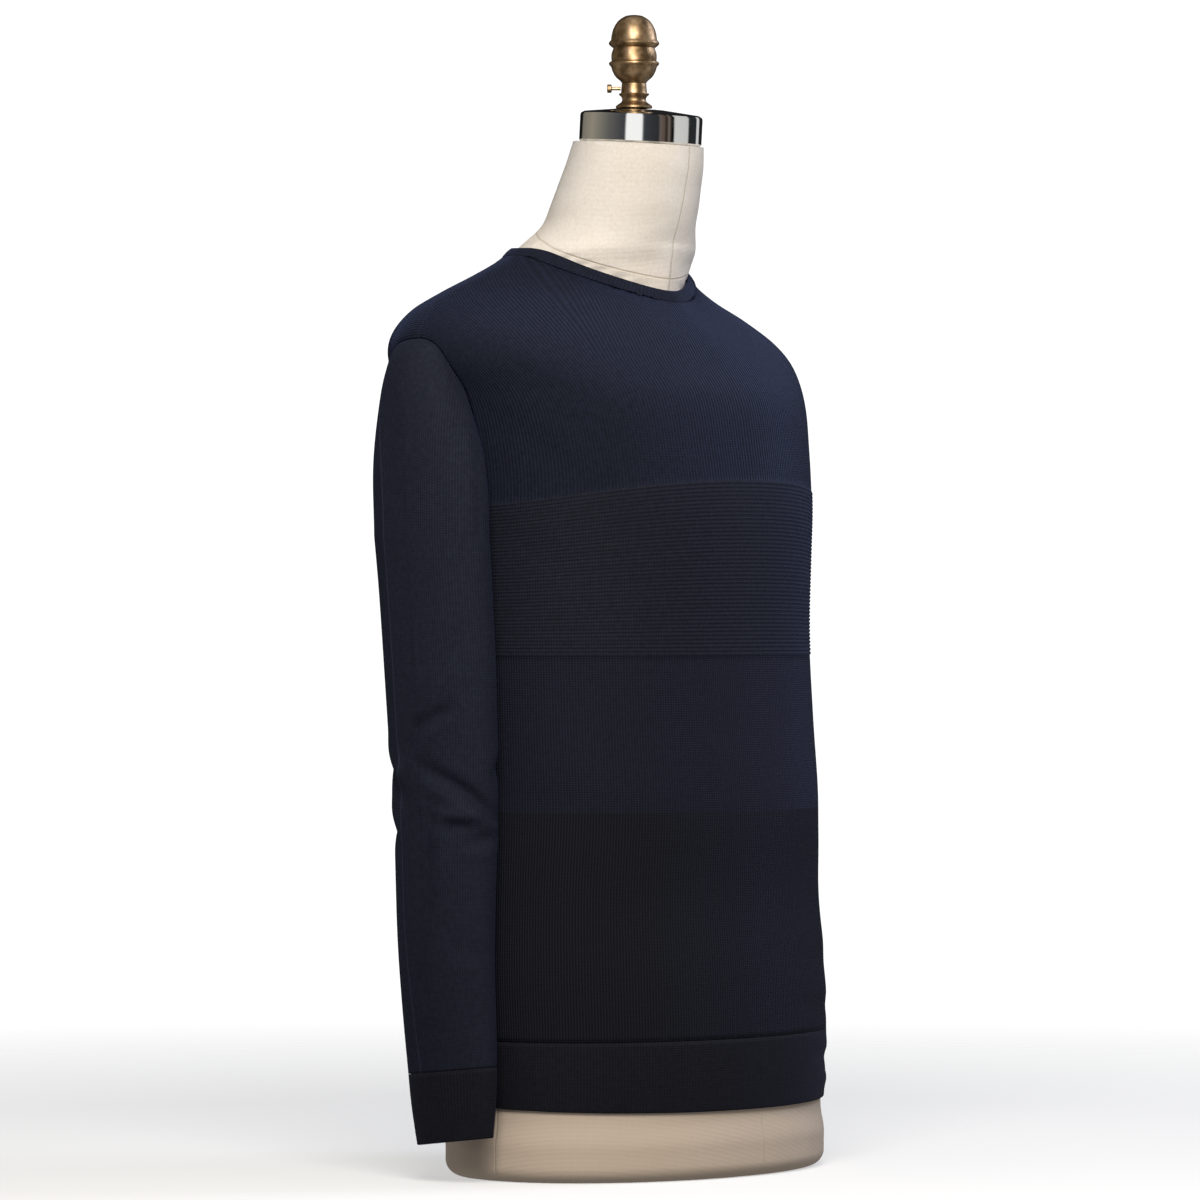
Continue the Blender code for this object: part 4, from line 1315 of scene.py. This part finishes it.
for name, node, profile, turn, spot in (
    ("brass_stem", "finial_base", STEM_PROFILE, upright, foot),
    ("brass_knob", "finial_knob", KNOB_PROFILE, upright, foot),
    ("brass_screw", "finial_screw", SCREW_PROFILE, outward, screw_place),
):
    turned = spin_profile(name, profile, brass)
    set_in_place(turned, turn, spot)
    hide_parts(node)
    print(name, "faces:", len(turned.data.polygons))

# %% [markdown]
# ## Floor, room and light
#
# A pale floor that fades into the white room, so that no horizon shows. A mirror needs something
# to mirror: the room's walls are bands of light and dark, drawn on the world by compass direction
# as seen from the form, and only glossy rays meet them. The cloth is lit by the lamps and by a
# little even light from the room.

# %% Floor
FLOOR_RADIUS = 2.4
FLOOR_SIDES = 96
FLOOR_SOLID_SHARE = 0.35
FLOOR_STRENGTH = 0.55


def make_floor():
    work = bmesh.new()
    bmesh.ops.create_circle(work, cap_ends=True, radius=FLOOR_RADIUS, segments=FLOOR_SIDES)
    mesh = bpy.data.meshes.new("floor")
    work.to_mesh(mesh)
    work.free()
    material, tree, shader = start_material("pale_floor_paint", "F4F3F1", 0.9)
    shader.inputs["Specular IOR Level"].default_value = 0.1
    place = add_node(tree, "ShaderNodeTexCoord").outputs["Object"]
    reach = add_node(tree, "ShaderNodeVectorMath", {0: place}, operation="LENGTH").outputs["Value"]
    fade = {"Value": reach, "From Min": FLOOR_RADIUS * FLOOR_SOLID_SHARE, "From Max": FLOOR_RADIUS,
            "To Min": FLOOR_STRENGTH, "To Max": 0.0}
    alpha = add_node(tree, "ShaderNodeMapRange", fade).outputs["Result"]
    tree.links.new(alpha, shader.inputs["Alpha"])
    mesh.materials.append(material)
    floor = bpy.data.objects.new("floor", mesh)
    floor.visible_diffuse = False
    bpy.context.scene.collection.objects.link(floor)
    return floor


make_floor()
print("floor radius in m:", FLOOR_RADIUS)

# %% The room as mirrors and as cloth see it
ROOM_SEEN = 1.1
ROOM_LIGHT = 0.25
# Degrees round from the camera, to its right, and the wall's colour there.
ROOM_WALLS = [
    (-180, "151517"), (-146, "151517"), (-143, "767267"), (-105, "918B7D"), (-62, "5F5E5C"),
    (-30, "3C3D43"), (-27, "FFFFFF"), (2, "FFFFFF"), (5, "3A3E43"), (34, "2B2D30"),
    (37, "685E5A"), (46, "57493F"), (50, "171412"), (55, "72675F"), (60, "0F0F0F"),
    (65, "0F0F0F"), (67, "D1D1D0"), (100, "CBCBCA"), (103, "26282A"), (128, "292C2F"),
    (131, "D4D4D5"), (140, "D4D4D5"), (143, "212123"), (180, "212123"),
]


def build_room():
    world = bpy.data.worlds.new("room")
    bpy.context.scene.world = world
    world.use_nodes = True
    tree = world.node_tree
    towards = add_node(tree, "ShaderNodeTexCoord").outputs["Generated"]
    compass = add_node(tree, "ShaderNodeMapping",
                       {"Vector": towards, "Rotation": (0, 0, CAMERA_TURN + math.pi / 2)})
    around = add_node(tree, "ShaderNodeTexGradient", {"Vector": compass.outputs["Vector"]},
                      gradient_type="RADIAL").outputs["Fac"]
    walls = add_node(tree, "ShaderNodeValToRGB", {"Fac": around})
    set_ramp(walls, [(0.5 + degrees / 360, colour) for degrees, colour in ROOM_WALLS])
    rays = add_node(tree, "ShaderNodeLightPath")
    colour = (ROOM_LIGHT,) * 3 + (1,)
    sights = {"Is Glossy Ray": walls.outputs["Color"], "Is Camera Ray": (ROOM_SEEN,) * 3 + (1,)}
    for ray, sight in sights.items():
        colour = add_node(tree, "ShaderNodeMix", {0: rays.outputs[ray], 6: colour, 7: sight},
                          data_type="RGBA").outputs[2]
    tree.links.new(colour, tree.nodes["Background"].inputs["Color"])


build_room()
bpy.context.scene.view_settings.view_transform = "Standard"
print("walls round the room:", len(ROOM_WALLS))

# %% Lamps
Lamp = namedtuple("Lamp", "name place aim width height watts colour")
LAMPS = [
    Lamp("key", (-1.10, -0.86, 1.32), (0, 0, 0.70), 0.8, 0.8, 29, "FFFAF2"),
    Lamp("side", (1.5, -0.95, 1.75), (0, 0, 0.72), 0.7, 0.9, 21, "DFE7FF"),
    Lamp("top", (0.0, 0.0, 2.4), (0, 0, 0.0), 1.6, 1.6, 5, "FFFFFF"),
]
# The cap is left out of the lamps' light, so that it mirrors the walls and not the lamps' squares.
lamp_receivers = bpy.data.collections.new("lamp_receivers")
lamp_receivers.objects.link(chrome_cap)
lamp_receivers.collection_objects[0].light_linking.link_state = "EXCLUDE"


def add_light(lamp):
    light_data = bpy.data.lights.new(lamp.name, "AREA")
    light_data.shape = "RECTANGLE"
    light_data.size, light_data.size_y = lamp.width, lamp.height
    light_data.energy = lamp.watts
    light_data.color = linear(lamp.colour)[:3]
    light = bpy.data.objects.new(lamp.name, light_data)
    light.location = lamp.place
    aim = Vector(lamp.aim) - light.location
    light.rotation_euler = aim.to_track_quat("-Z", "Y").to_euler()
    light.light_linking.receiver_collection = lamp_receivers
    bpy.context.scene.collection.objects.link(light)


for lamp in LAMPS:
    add_light(lamp)
print("lights:", len([thing for thing in bpy.data.objects if thing.type == "LIGHT"]))
